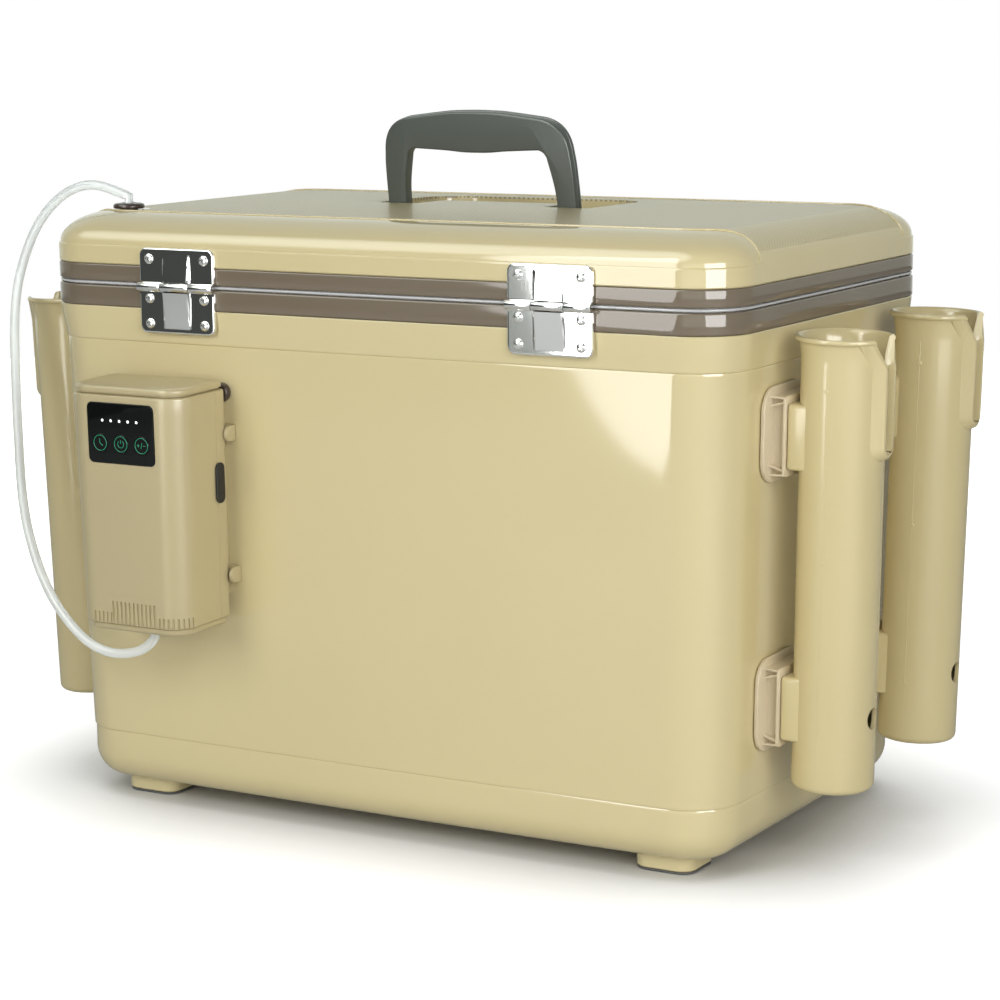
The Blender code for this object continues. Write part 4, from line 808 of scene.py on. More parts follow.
@dataclass(frozen=True)
class BoxForm:
    """The box's outline and heights, in metres above the ground."""

    length: float = 0.483
    width: float = 0.303
    corner: float = 0.034
    front_bow: float = 0.0018
    end_bow: float = 0.0009
    underside: float = 0.010
    bottom_step: float = 0.045
    collar: float = SEAM - 0.036
    band_low: float = SEAM - 0.0142
    band_high: float = SEAM + 0.0118
    lid_step: float = SEAM + 0.024
    panel_edge: float = SEAM + 0.0425
    crown: float = SEAM + 0.0445
    step: float = 0.0007
    draft: float = 0.026
    bottom_radius: float = 0.020
    band_wall: float = 0.0014
    end_shoulder: float = 0.028
    front_roll: float = 0.034
    rim: float = 0.030
    liner_wall: float = 0.0025
    cavity_floor: float = 0.0405
    cavity_radius: float = 0.022
    cavity_draft: float = 0.020
    corner_steps: int = 14
    long_steps: int = 44
    short_steps: int = 28

    def inset(self, z: float) -> float:
        """Return how far the drafted wall lies inside the rim at a height."""
        return 0.0025 + self.step + (self.collar - z) * self.draft

    def front(self, x: float, inset: float = 0.0) -> float:
        """Return the bowed long face's distance from the middle of the box."""
        return self.width / 2 - inset - self.front_bow * (x / (self.length / 2)) ** 2

    def ring(self, inset_x: float, inset_y: float, z: float, radius: float) -> np.ndarray:
        """Return one closed level of the outline.

        Args:
            inset_x: How far it lies inside the rim at the ends.
            inset_y: How far it lies inside the rim at the long sides.
            z: Its height.
            radius: Its corner radius.

        Returns:
            An array of points.
        """
        half_x, half_y = self.length / 2 - inset_x, self.width / 2 - inset_y
        corners = rounded_outline(half_x, half_y, radius, self.corner_steps)
        count = self.corner_steps + 1
        points = []
        for index in range(4):
            arc = corners[index * count:(index + 1) * count]
            after = corners[(index + 1) * count % (4 * count)]
            steps = self.long_steps if index % 2 == 0 else self.short_steps
            points += arc
            for k in range(1, steps):
                points.append(tuple(a + (b - a) * k / steps for a, b in zip(arc[-1], after)))
        x, y = np.array(points).T
        bowed_y = y * (1 - self.front_bow / half_y * (x / half_x) ** 2)
        bowed_x = x * (1 - self.end_bow / half_x * (y / half_y) ** 2)
        return np.column_stack([bowed_x, bowed_y + SIDE_SHIFT, np.full(len(x), z)])

    def even(self, inset: float, z: float) -> np.ndarray:
        """Return a level that lies equally far inside the rim all round."""
        return self.ring(inset, inset, z, self.corner - 0.2 * inset)

    def strip(self, levels: Sequence[Flat]) -> Piece:
        """Make a thin band round the outline.

        Args:
            levels: Its inset and height pairs, from the bottom up.

        Returns:
            The band.
        """
        rings = [self.ring(inset, inset, z, self.corner - inset) for inset, z in levels]
        piece = skinned(rings, fill=False)
        return modify(piece, "SOLIDIFY", thickness=self.band_wall, offset=-1.0)


def fill_level(top: bool) -> Callable[[], None]:
    """Return the edit-mode work that closes an open shell at its highest or lowest ring.

    Args:
        top: Whether the highest ring is closed, and not the lowest.

    Returns:
        The function that does it.
    """

    def work() -> None:
        """Select the ring and fill it."""
        bpy.ops.mesh.select_all(action="DESELECT")
        bpy.ops.object.mode_set(mode="OBJECT")
        mesh = bpy.context.object.data
        flat = np.empty(len(mesh.vertices) * 3)
        mesh.vertices.foreach_get("co", flat)
        z = flat[2::3]
        level = z.max() if top else z.min()
        mesh.vertices.foreach_set("select", np.abs(z - level) < 1e-6)
        bpy.ops.object.mode_set(mode="EDIT")
        bpy.ops.mesh.edge_face_add()

    return work


@dataclass
class Tub:
    """The tub: its moulded shell with feet, rim band and white liner."""

    form: BoxForm
    finishes: Finishes
    foot_outer: Flat = (0.205, 0.122)
    foot_half: Flat = (0.019, 0.018)
    foot_radius: float = 0.009
    pad: float = 0.0014
    wall: float = 0.0028
    fillet: float = 0.015
    lip: float = 0.003

    def shell(self) -> None:
        """Build the shell with its drafted walls, step lines and feet."""
        form = self.form
        skirt = form.inset(form.bottom_step) + form.step
        corner = form.corner - 0.2 * skirt
        rings = []
        for angle in quarter(12):
            extra = form.bottom_radius * (1 - math.sin(angle))
            rise = form.bottom_radius * (1 - math.cos(angle))
            rings.append(form.ring(skirt + extra, skirt + extra, form.underside + rise, corner - extra))
        low = form.inset(form.bottom_step)
        high = form.inset(form.collar)
        levels = [
            (skirt, form.bottom_step - 0.0030), (skirt, form.bottom_step - 0.0012),
            (skirt + 0.0002, form.bottom_step - 0.0007),
            (low + 0.0002, form.bottom_step - 0.0003), (low, form.bottom_step + 0.0003),
            (low, form.bottom_step + 0.0014),
            *[(form.inset(z), z) for z in np.linspace(0.05, form.collar - 0.0040, 16)],
            (form.inset(form.collar - 0.0014), form.collar - 0.0014),
            (form.inset(form.collar - 0.0005), form.collar - 0.0005),
            (high + 0.0001, form.collar), (high - 0.0002, form.collar + 0.0003),
            (0.0027, form.collar + 0.0006), (0.0025, form.collar + 0.0011),
            (0.0024, form.collar + 0.0021), (0.0010, 0.312), (0.0003, form.band_low - 0.0018),
            (0.0002, form.band_low - 0.0008), (0.0006, form.band_low - CLEARANCE),
            (0.0033, form.band_low - CLEARANCE), (0.0033, SEAM - 0.0042),
        ]
        rings += [form.even(inset, z) for inset, z in levels]
        piece = skinned(rings, fill=False)
        in_edit(piece, fill_level(top=False))
        close_seams(piece, False)
        modify(piece, "SOLIDIFY", thickness=self.wall, offset=-1.0)
        for side_x in (-1, 1):
            for side_y in (-1, 1):
                self.foot(piece, side_x, side_y)
        finished(piece, "tub_shell_skin", self.finishes.tan, "tub", ["tub_shell"])

    def foot(self, shell: Piece, side_x: int, side_y: int) -> None:
        """Mould one foot onto the shell and put its rubber pad under it.

        Args:
            shell: The tub's shell.
            side_x: The side along X.
            side_y: The side along Y.
        """
        half_x, half_y = self.foot_half
        centre_x = side_x * (self.foot_outer[0] - half_x)
        centre_y = side_y * (self.foot_outer[1] - half_y) + SIDE_SHIFT

        def stack(levels: Sequence[Flat]) -> Piece:
            """Skin the foot's plan at several levels.

            Args:
                levels: The growth and height of each.

            Returns:
                The stack.
            """
            rings = []
            for grow, z in levels:
                plan = rounded_outline(half_x + grow, half_y + grow, self.foot_radius + grow, 10)
                rings.append([(x + centre_x, y + centre_y, z) for x, y in plan])
            return skinned(rings)

        base = self.pad + CLEARANCE
        under = self.form.underside
        carve(shell, stack(((-0.0008, base), (0.0, base + 0.0008), (0.0004, under - 0.0006),
                            (0.0012, under + 0.0003), (0.0012, under + 0.0012))), Cut.ONTO)
        name = f"{'left' if side_x < 0 else 'right'}_{'front' if side_y < 0 else 'back'}"
        sole = stack(((-0.0012, 0.0), (-0.0004, 0.0004), (-0.0001, self.pad - 0.0004), (-0.0006, self.pad)))
        finished(sole, f"foot_sole_{name}", self.finishes.pad, "tub", [f"foot_pad_{name}"])

    def liner(self) -> None:
        """Build the white tank that holds the water."""
        form = self.form
        deep = form.rim + (SEAM - form.cavity_floor) * form.cavity_draft
        fillet, lip = self.fillet, self.lip
        rings = []
        for angle in quarter(9):
            inset = deep + fillet * (1 - math.sin(angle))
            rings.append(form.ring(inset, inset, form.cavity_floor + fillet * (1 - math.cos(angle)),
                                   form.cavity_radius - fillet * (1 - math.sin(angle))))
        top = SEAM - 0.0013
        for share in np.linspace(0.1, 1, 12):
            z = form.cavity_floor + fillet + share * (top - 0.004 - form.cavity_floor - fillet)
            inset = form.rim + (deep - form.rim) * (1 - share)
            rings.append(form.ring(inset, inset, z, form.cavity_radius))
        for angle in quarter(5)[1:]:
            inset = form.rim - lip * (1 - math.cos(angle))
            rings.append(form.ring(inset, inset, top - lip * (1 - math.sin(angle)), form.cavity_radius))
        rings.append(form.ring(0.0033, 0.0033, top, form.corner - 0.0033))
        piece = skinned(rings, fill=False)
        in_edit(piece, fill_level(top=False))
        in_edit(piece, lambda: bpy.ops.mesh.normals_make_consistent(inside=True))
        modify(piece, "SOLIDIFY", thickness=form.liner_wall, offset=-1.0)
        finished(piece, "tank_liner", self.finishes.liner, "tub", ["tub_liner"])

    def build(self) -> None:
        """Build the tub's pieces."""
        self.shell()
        self.liner()
        low, high = self.form.band_low, SEAM - 0.0013
        levels = ((0.0012, low), (0.0002, low + 0.0003), (0.0, low + 0.0010), (0.0, high - 0.0012),
                  (0.0003, high - 0.0004), (0.0014, high))
        finished(self.form.strip(levels), "tub_rim_band", self.finishes.band, "tub",
                 ["tub_band"], Shading.ROUND)


@dataclass
class Lid:
    """The lid: its cover with the handle well, beads, band, seal and white liner."""

    form: BoxForm
    finishes: Finishes
    well_half: float = 0.077
    well_front: float = -0.0066
    well_back: float = 0.082
    well_depth: float = 0.016
    well_wall: float = 0.0024
    well_corners: tuple[float, ...] = (0.005, 0.005, 0.026, 0.026)
    cheek_from: float = 0.1045
    cheek_ease: float = 0.0035
    corner_loss: float = 0.012
    panel_corner: float = 0.022
    island_half: float = 0.046
    island_back: float = 0.026
    socket_height: float = SEAM + 0.035
    socket_radius: float = 0.0031
    wall: float = 0.0026
    grommet: Flat = (-0.203, -0.103)
    grommet_hole: float = 0.0062
    tube_hole: Flat = (-0.1945, -0.0974)
    tube_hole_radius: float = 0.0045
    plug_depth: float = 0.014
    plug_round: float = 0.004
    bead_radius: float = 0.00065

    def roll(self, share: float) -> Flat:
        """Return how far the lid's edge has run inwards and how high it is.

        Args:
            share: Zero at the step line and one at the panel.

        Returns:
            The run from zero to one, and the height.
        """
        angle = math.radians(90 * share)
        form = self.form
        return 1 - math.cos(angle), form.lid_step + (form.panel_edge - form.lid_step) * math.sin(angle)

    def rings(self) -> list[np.ndarray]:
        """Return the cover's levels, whose step line runs only along the rolled cheeks.

        Returns:
            The levels.
        """
        form = self.form
        ledge = form.band_high + CLEARANCE
        under = [(0.0033, ledge - 0.006), (0.0033, ledge), (0.0006, ledge), (0.0, ledge + 0.0007),
                 (0.0, ledge + 0.0016)]
        rings = [form.ring(inset, inset, z, form.corner - inset) for inset, z in under]
        span = form.lid_step - ledge
        stepped = [(0.0, form.lid_step - 0.0021), (0.0, form.lid_step - 0.0011),
                   (0.0002, form.lid_step - 0.0006),
                   (form.step, form.lid_step - 0.0003), (form.step, form.lid_step)]
        for inset, z in stepped:
            cheek = form.ring(inset, inset, z, form.corner)
            end = form.ring(form.step * (z - ledge) / span, 0.0, z, form.corner)
            beyond = np.abs(cheek[:, 1] - SIDE_SHIFT) - self.cheek_from
            rings.append(end + (cheek - end) * np.clip(beyond / self.cheek_ease, 0, 1)[:, None])
        for k in range(1, 17):
            run, z = self.roll(k / 16)
            inset_x, inset_y = form.step + form.end_shoulder * run, form.step + form.front_roll * run
            rings.append(form.ring(inset_x, inset_y, z, form.corner - self.corner_loss * run))
        dome = form.crown - form.panel_edge
        for share in (0.02, 0.06, 0.12, 0.2, 0.3, 0.42, 0.55, 0.68, 0.8, 0.9, 0.96):
            inset_x = form.step + form.end_shoulder + share * (form.length / 2 - form.end_shoulder)
            inset_y = form.step + form.front_roll + share * (form.width / 2 - form.front_roll)
            z = form.panel_edge + dome * (1 - (1 - share) ** 2)
            rings.append(form.ring(inset_x, inset_y, z, max(0.0005, self.panel_corner * (1 - share))))
        return rings

    def cover(self) -> None:
        """Build the cover: rolled edges, a crowned panel and the well."""
        form = self.form
        piece = skinned(self.rings(), fill=False)
        in_edit(piece, fill_level(top=True))
        close_seams(piece, False)
        modify(piece, "SOLIDIFY", thickness=self.wall, offset=-1.0)
        floor = form.crown - self.well_depth
        casing_top = form.panel_edge - 0.001
        carve(piece, self.well(self.well_wall, floor - self.well_wall, casing_top), Cut.ONTO)
        hollow = self.well(0.0, floor, form.crown + 0.01)
        front = self.well_front - 0.006
        half_y = (self.island_back - front) / 2
        plan = rounded_outline(self.island_half, half_y, self.well_corners[0], 6)
        middle = (front + self.island_back) / 2 + SIDE_SHIFT
        carve(hollow, extruded([(x, y + middle, floor - 0.01) for x, y in plan], (0, 0, 0.05)))
        carve(piece, round_edges(hollow, 0.0018, 4, 40))
        for side in (-1, 1):
            start = side * (self.well_half - 0.001)
            end = side * (self.well_half + self.well_wall + 0.0006)
            path = [(x, SIDE_SHIFT, self.socket_height) for x in (start, end)]
            carve(piece, piped(path, self.socket_radius, 24))
        radius = self.grommet_hole
        hole = turned(((0, 0), (radius, 0), (radius, 0.02), (0, 0.02)), 48)
        place = (self.grommet[0], self.grommet[1] + SIDE_SHIFT, form.lid_step)
        carve(piece, placed(hole, Matrix.Translation(place)))
        close_seams(piece, False, 2e-5)
        round_edges(piece, 0.0005, 2, 62)
        finished(piece, "lid_cover_skin", self.finishes.lid, "lid", ["lid_cover"])

    def well(self, grow: float, low: float, high: float) -> Piece:
        """Return a block with the well's plan.

        Args:
            grow: How far its sides are moved out.
            low: Its lowest height.
            high: Its highest height.

        Returns:
            The block.
        """
        middle = (self.well_front + self.well_back) / 2 + SIDE_SHIFT
        half_y = (self.well_back - self.well_front) / 2 + grow
        radii = [radius + grow for radius in self.well_corners]
        plan = rounded_outline(self.well_half + grow, half_y, radii, 12)
        return extruded([(x, y + middle, low) for x, y in plan], (0, 0, high - low))

    def beads(self) -> None:
        """Build the thin raised bead that outlines each rolled cheek."""
        form = self.form
        half_x, half_y = form.length / 2 - form.step, form.width / 2 - form.step
        edge = half_y - form.front_roll
        right = []
        for x, y in ((0.0, edge), (0.10, edge), (0.17, edge), (0.190, edge), (0.197, edge - 0.0002),
                     (0.2055, edge - 0.0022)):
            right.append((x, y, form.panel_edge + 0.0001))
        for share, y in ((0.985, 0.1102), (0.81, 0.1062), (0.607, 0.1042), (0.38, 0.1045), (0.15, 0.1060),
                         (0.03, 0.1069)):
            run, z = self.roll(share)
            bow = form.end_bow * (y / (half_y - form.front_roll * run)) ** 2
            right.append((half_x - form.end_shoulder * run - bow, y, z))
        path = [(-x, y, z) for x, y, z in reversed(right[1:])] + right
        beads = []
        for side in (-1, 1):
            line = smooth_line([(x, side * y + SIDE_SHIFT, z) for x, y, z in path], 220)
            beads.append(piped(line, self.bead_radius, 10))
        finished(joined(*beads), "lid_beads", self.finishes.tan, "lid",
                 shading=Shading.ROUND)

    def seal(self) -> None:
        """Build the white seal in the seam."""
        form = self.form
        rings = []
        for k in range(12):
            angle = math.radians(30 * k)
            inset = 0.0019 - 0.0014 * math.cos(angle)
            rings.append(form.ring(inset, inset, SEAM + 0.00098 * math.sin(angle), form.corner - inset))
        finished(skinned(rings, loop=True), "lid_seal", self.finishes.seal, "lid",
                 ["lid_gasket"], Shading.ROUND)

    def liner(self) -> None:
        """Build the white plug under the lid, with a softly rounded edge."""
        form = self.form
        seat = SEAM + 0.0013
        plug = form.rim + 0.003
        low = seat - self.plug_depth
        rings = []
        for angle in quarter(6):
            out, up = (self.plug_round * (1 - share) for share in (math.sin(angle), math.cos(angle)))
            rings.append(form.ring(plug + out, plug + out, low + up, form.cavity_radius - out))
        rings += [form.ring(plug, plug, z, form.cavity_radius) for z in (low + 0.008, seat - 0.001)]
        rings.append(form.ring(plug - 0.0006, plug - 0.0006, seat, form.cavity_radius))
        rings.append(form.ring(0.0069, 0.0069, seat, form.corner - 0.0069))
        piece = skinned(rings, fill=False)
        in_edit(piece, fill_level(top=False))
        close_seams(piece, False)
        modify(piece, "SOLIDIFY", thickness=form.liner_wall, offset=-1.0)
        radius, (x, y) = self.tube_hole_radius, self.tube_hole
        hole = turned(((0, 0), (radius, 0), (radius, 0.02), (0, 0.02)), 32)
        carve(piece, placed(hole, Matrix.Translation((x, y + SIDE_SHIFT, low - 0.008))))
        finished(piece, "lid_plug", self.finishes.liner, "lid", ["lid_liner"])

    def build(self) -> None:
        """Build the lid's pieces."""
        self.cover()
        self.beads()
        self.seal()
        self.liner()
        low, high = SEAM + 0.0013, self.form.band_high
        levels = ((0.0014, low), (0.0003, low + 0.0004), (0.0, low + 0.0012), (0.0, high - 0.0010),
                  (0.0002, high - 0.0003), (0.0012, high))
        finished(self.form.strip(levels), "lid_rim_band", self.finishes.band, "lid",
                 ["lid_band"], Shading.ROUND)


@dataclass
class Handle:
    """The carrying handle with its broad grip and its grooved outer rim."""

    finishes: Finishes
    pivot: float = SEAM + 0.035
    lean: float = math.radians(10)
    reach: float = 0.0698
    half_width: float = 0.0685
    leg: float = 0.013
    grip: float = 0.024
    thickness: float = 0.009
    rounding: float = 0.0026
    groove: float = 0.0009
    pin_radius: float = 0.0028
    foot: float = -0.0045

    @staticmethod
    def bend(corner: Flat, before: Flat, after: Flat, radius: float, steps: int = 14) -> list[Flat]:
        """Return the points of a rounded corner.

        Args:
            corner: The sharp corner.
            before: The point before it.
            after: The point after it.
            radius: How far from the corner the bend starts.
            steps: How many edges make it.

        Returns:
            The bend's points.
        """
        middle, first, last = Vector(corner), Vector(before), Vector(after)
        start = middle + (first - middle).normalized() * radius
        end = middle + (last - middle).normalized() * radius
        shares = [step / steps for step in range(steps + 1)]
        return [tuple((1 - t) ** 2 * start + 2 * t * (1 - t) * middle + t**2 * end) for t in shares]

    def outer(self) -> np.ndarray:
        """Return the outer edge from the right foot over the top to the left foot.

        Returns:
            Its points.
        """
        wide, top = self.half_width, self.reach
        half = [(wide - 0.001, self.foot), (wide, 0.010), (wide - 0.0005, 0.034)]
        half += self.bend((wide - 0.003, top - 0.0055), (wide - 0.001, 0.038), (0.030, top - 0.002), 0.020)
        half += [(0.022, top - 0.0008), (0.011, top - 0.0002)]
        return smooth_line([*half, (0.0, top), *[(-x, z) for x, z in reversed(half)]], 120)

    def inner(self) -> np.ndarray:
        """Return the inner edge from the left foot under the grip to the right foot.

        Returns:
            Its points.
        """
        side = self.half_width - self.leg
        under = self.reach - self.grip
        half = [(0.010, under - 0.0020), (0.022, under - 0.0010)]
        half += self.bend((side - 0.006, under), (0.022, under), (side - 0.001, 0.020), 0.006, 8)
        half += [(side - 0.001, 0.020), (side, self.foot)]
        line = [(-x, z) for x, z in reversed(half)] + [(0.0, under - 0.0022), *half]
        return smooth_line(line, 110)

    def build(self) -> None:
        """Build the handle in its own plane and lean it back."""
        outline = [(x, -self.thickness / 2, z) for x, z in (*self.outer(), *self.inner())]
        piece = extruded(outline, (0, self.thickness, 0))
        round_edges(piece, self.rounding, 6, 50)
        rim = [(x, 0.0008, z) for x, z in self.outer()]
        rim = [(*rim[0][:2], rim[0][2] - 0.004), *rim, (*rim[-1][:2], rim[-1][2] - 0.004)]
        carve(piece, piped(rim, self.groove, 12))
        start = self.half_width - self.leg / 2
        for side in (-1, 1):
            path = [(side * start, 0, 0), (side * (self.half_width + 0.0112), 0, 0)]
            carve(piece, piped(path, self.pin_radius, 28), Cut.ONTO)
        placed(piece, seat_at((0, SIDE_SHIFT, self.pivot), (self.lean, 0, 0)))
        finished(piece, "carry_handle", self.finishes.grey, "carrying_handle", ["handle"])


def cross_screw(radius: float, height: float) -> Piece:
    """Make a domed cross-head screw that stands on the plane Y = 0 and looks along -Y.

    Args:
        radius: The head's radius.
        height: How far the head stands out.

    Returns:
        The screw head.
    """
    profile = [(0.0, -0.0004), (radius, -0.0004), (radius, 0.0002)]
    for angle in quarter(8)[1:]:
        profile.append((radius * math.cos(angle), 0.0002 + (height - 0.0002) * math.sin(angle)))
    head = turned(profile, 32)
    arm, width = 0.55 * radius, 0.14 * radius
    for x, y in ((arm, width), (width, arm)):
        carve(head, block((-x, -y, height * 0.45), (x, y, height * 2)))
    return placed(head, UPRIGHT @ Matrix.Rotation(0.6, 4, "Z"))


@dataclass
class Hinges:
    """The two polished butt hinges with their screws and pins."""

    form: BoxForm
    finishes: Finishes
    reach: float = 0.1305
    half: float = 0.028
    upper: float = 0.024
    lower: float = 0.029
    plate: float = 0.002
    barrel: float = 0.003
    bore: float = 0.0017
    knuckle_half: float = 0.0105
    channel_half: float = 0.0090
    channel_slope: float = 0.0014
    channel_rise: float = 0.0024
    channel_start: float = 0.0035
    corner: float = 0.005
    soft: float = 0.0012
    pin_height: float = SEAM - 0.0005
    screw_radius: float = 0.0031
    screw_rise: float = 0.0015
    pin_radius: float = 0.0014
    screw_x: float = 0.0205
    screw_heights: tuple[float, float, float] = (0.0166, -0.0077, -0.0233)

    def face(self, x: float, row: float, lean: float, span: float) -> float:
        """Return how far a point of the plate's face stands out.

        Args:
            x: Its place along the pin.
            row: Its distance from the plate's far edge.
            lean: Its distance into the rounded corner, or zero.
            span: The plate's whole height.

        Returns:
            The point's Y, which is negative.
        """
        over = abs(x) - (self.half - self.corner)
        edge = min(self.half - abs(x), row)
        if over > 0 and lean > 0:
            edge = self.corner - math.hypot(over, lean)
        fall = max(0.0, self.soft - max(edge, 0.0)) / self.soft
        side = min(max((self.channel_half + self.channel_slope - abs(x)) / self.channel_slope, 0), 1)
        start = self.channel_start
        rise = self.channel_rise * min(max((row - start) / (span - start), 0), 1)
        return -self.plate - rise * side**2 * (3 - 2 * side) + self.soft * (1 - math.sqrt(1 - fall**2))

    def leaf(self, outer: float, inner: float) -> Piece:
        """Make one pressed plate whose middle channel grows towards the barrel.

        Args:
            outer: The height of its far edge, from the pin.
            inner: The height of its near edge, from the pin.

        Returns:
            The plate, with its back on the plane Y = 0.
        """
        way = 1 if outer > 0 else -1
        span = abs(outer - inner)
        rows = [0.00004, *np.linspace(0, self.corner, 14)[1:], *np.linspace(self.corner, span, 14)[1:]]
        shares = np.linspace(-1, 1, 121)
        shares = np.sign(shares) * np.abs(shares) ** 0.85
        rings = []
        for row in rows:
            lean = max(0.0, self.corner - row)
            wide = self.half - self.corner + math.sqrt(max(self.corner**2 - lean**2, 0.0))
            z = outer - way * row
            front = [(x, self.face(x, row, lean, span), z) for x in shares * wide]
            rings.append([*front, *[(x, 0.0, z) for x, _, _ in reversed(front)]])
        return skinned(rings)

    def knuckle(self, start: float, end: float, way: int) -> Piece:
        """Make one knuckle of the barrel with the web that joins it to its plate.

        Args:
            start: Where it starts along X.
            end: Where it ends.
            way: Up or down to its plate.

        Returns:
            The knuckle.
        """
        piece = piped([(start, 0, 0), (end, 0, 0)], self.barrel, 40)
        round_edges(piece, 0.0004, 2, 60)
        low, high = sorted((0.0, way * 0.0046))
        web = block((start + 0.0002, self.barrel - self.plate, low), (end - 0.0002, self.barrel, high))
        return carve(piece, web, Cut.ONTO)

    def build(self) -> None:
        """Build both hinges, with each leaf on its body."""
        pin_out = self.form.front(self.reach) + CLEARANCE + self.barrel
        gap = self.barrel + CLEARANCE
        beside = self.knuckle_half + CLEARANCE
        screw = cross_screw(self.screw_radius, self.screw_rise)
        leaves = (
            ("upper", "lid", self.upper, gap, ((-self.knuckle_half, self.knuckle_half),),
             self.screw_heights[:1]),
            ("lower", "tub", -self.lower, -gap, ((-self.half, -beside), (beside, self.half)),
             self.screw_heights[1:]),
        )
        for side, name in ((-1, "left"), (1, "right")):
            seat = seat_at((side * self.reach, -pin_out + SIDE_SHIFT, self.pin_height))
            for part, body, outer, inner, barrels, heights in leaves:
                piece = placed(self.leaf(outer, inner), Matrix.Translation((0, self.barrel, 0)))
                for start, end in barrels:
                    carve(piece, self.knuckle(start, end, 1 if outer > 0 else -1), Cut.ONTO)
                carve(piece, piped([(-0.03, 0, 0), (0.03, 0, 0)], self.bore, 20))
                finished(placed(piece, seat), f"hinge_{part}_{name}", self.finishes.steel, body,
                         [f"hinge_{part}_leaf_{name}"])
                heads = []
                for height in heights:
                    for x in (-self.screw_x, self.screw_x):
                        spot = (x, self.barrel - self.plate, height + SEAM - self.pin_height)
                        heads.append(copied(screw, seat @ Matrix.Translation(spot)))
                finished(joined(*heads), f"hinge_screws_{part}_{name}", self.finishes.steel, body)
            pin = piped([(-self.half, 0, 0), (self.half, 0, 0)], self.pin_radius, 20)
            finished(placed(pin, seat), f"hinge_rod_{name}", self.finishes.steel, "tub",
                     [f"hinge_pin_{name}"])
        drop(screw)


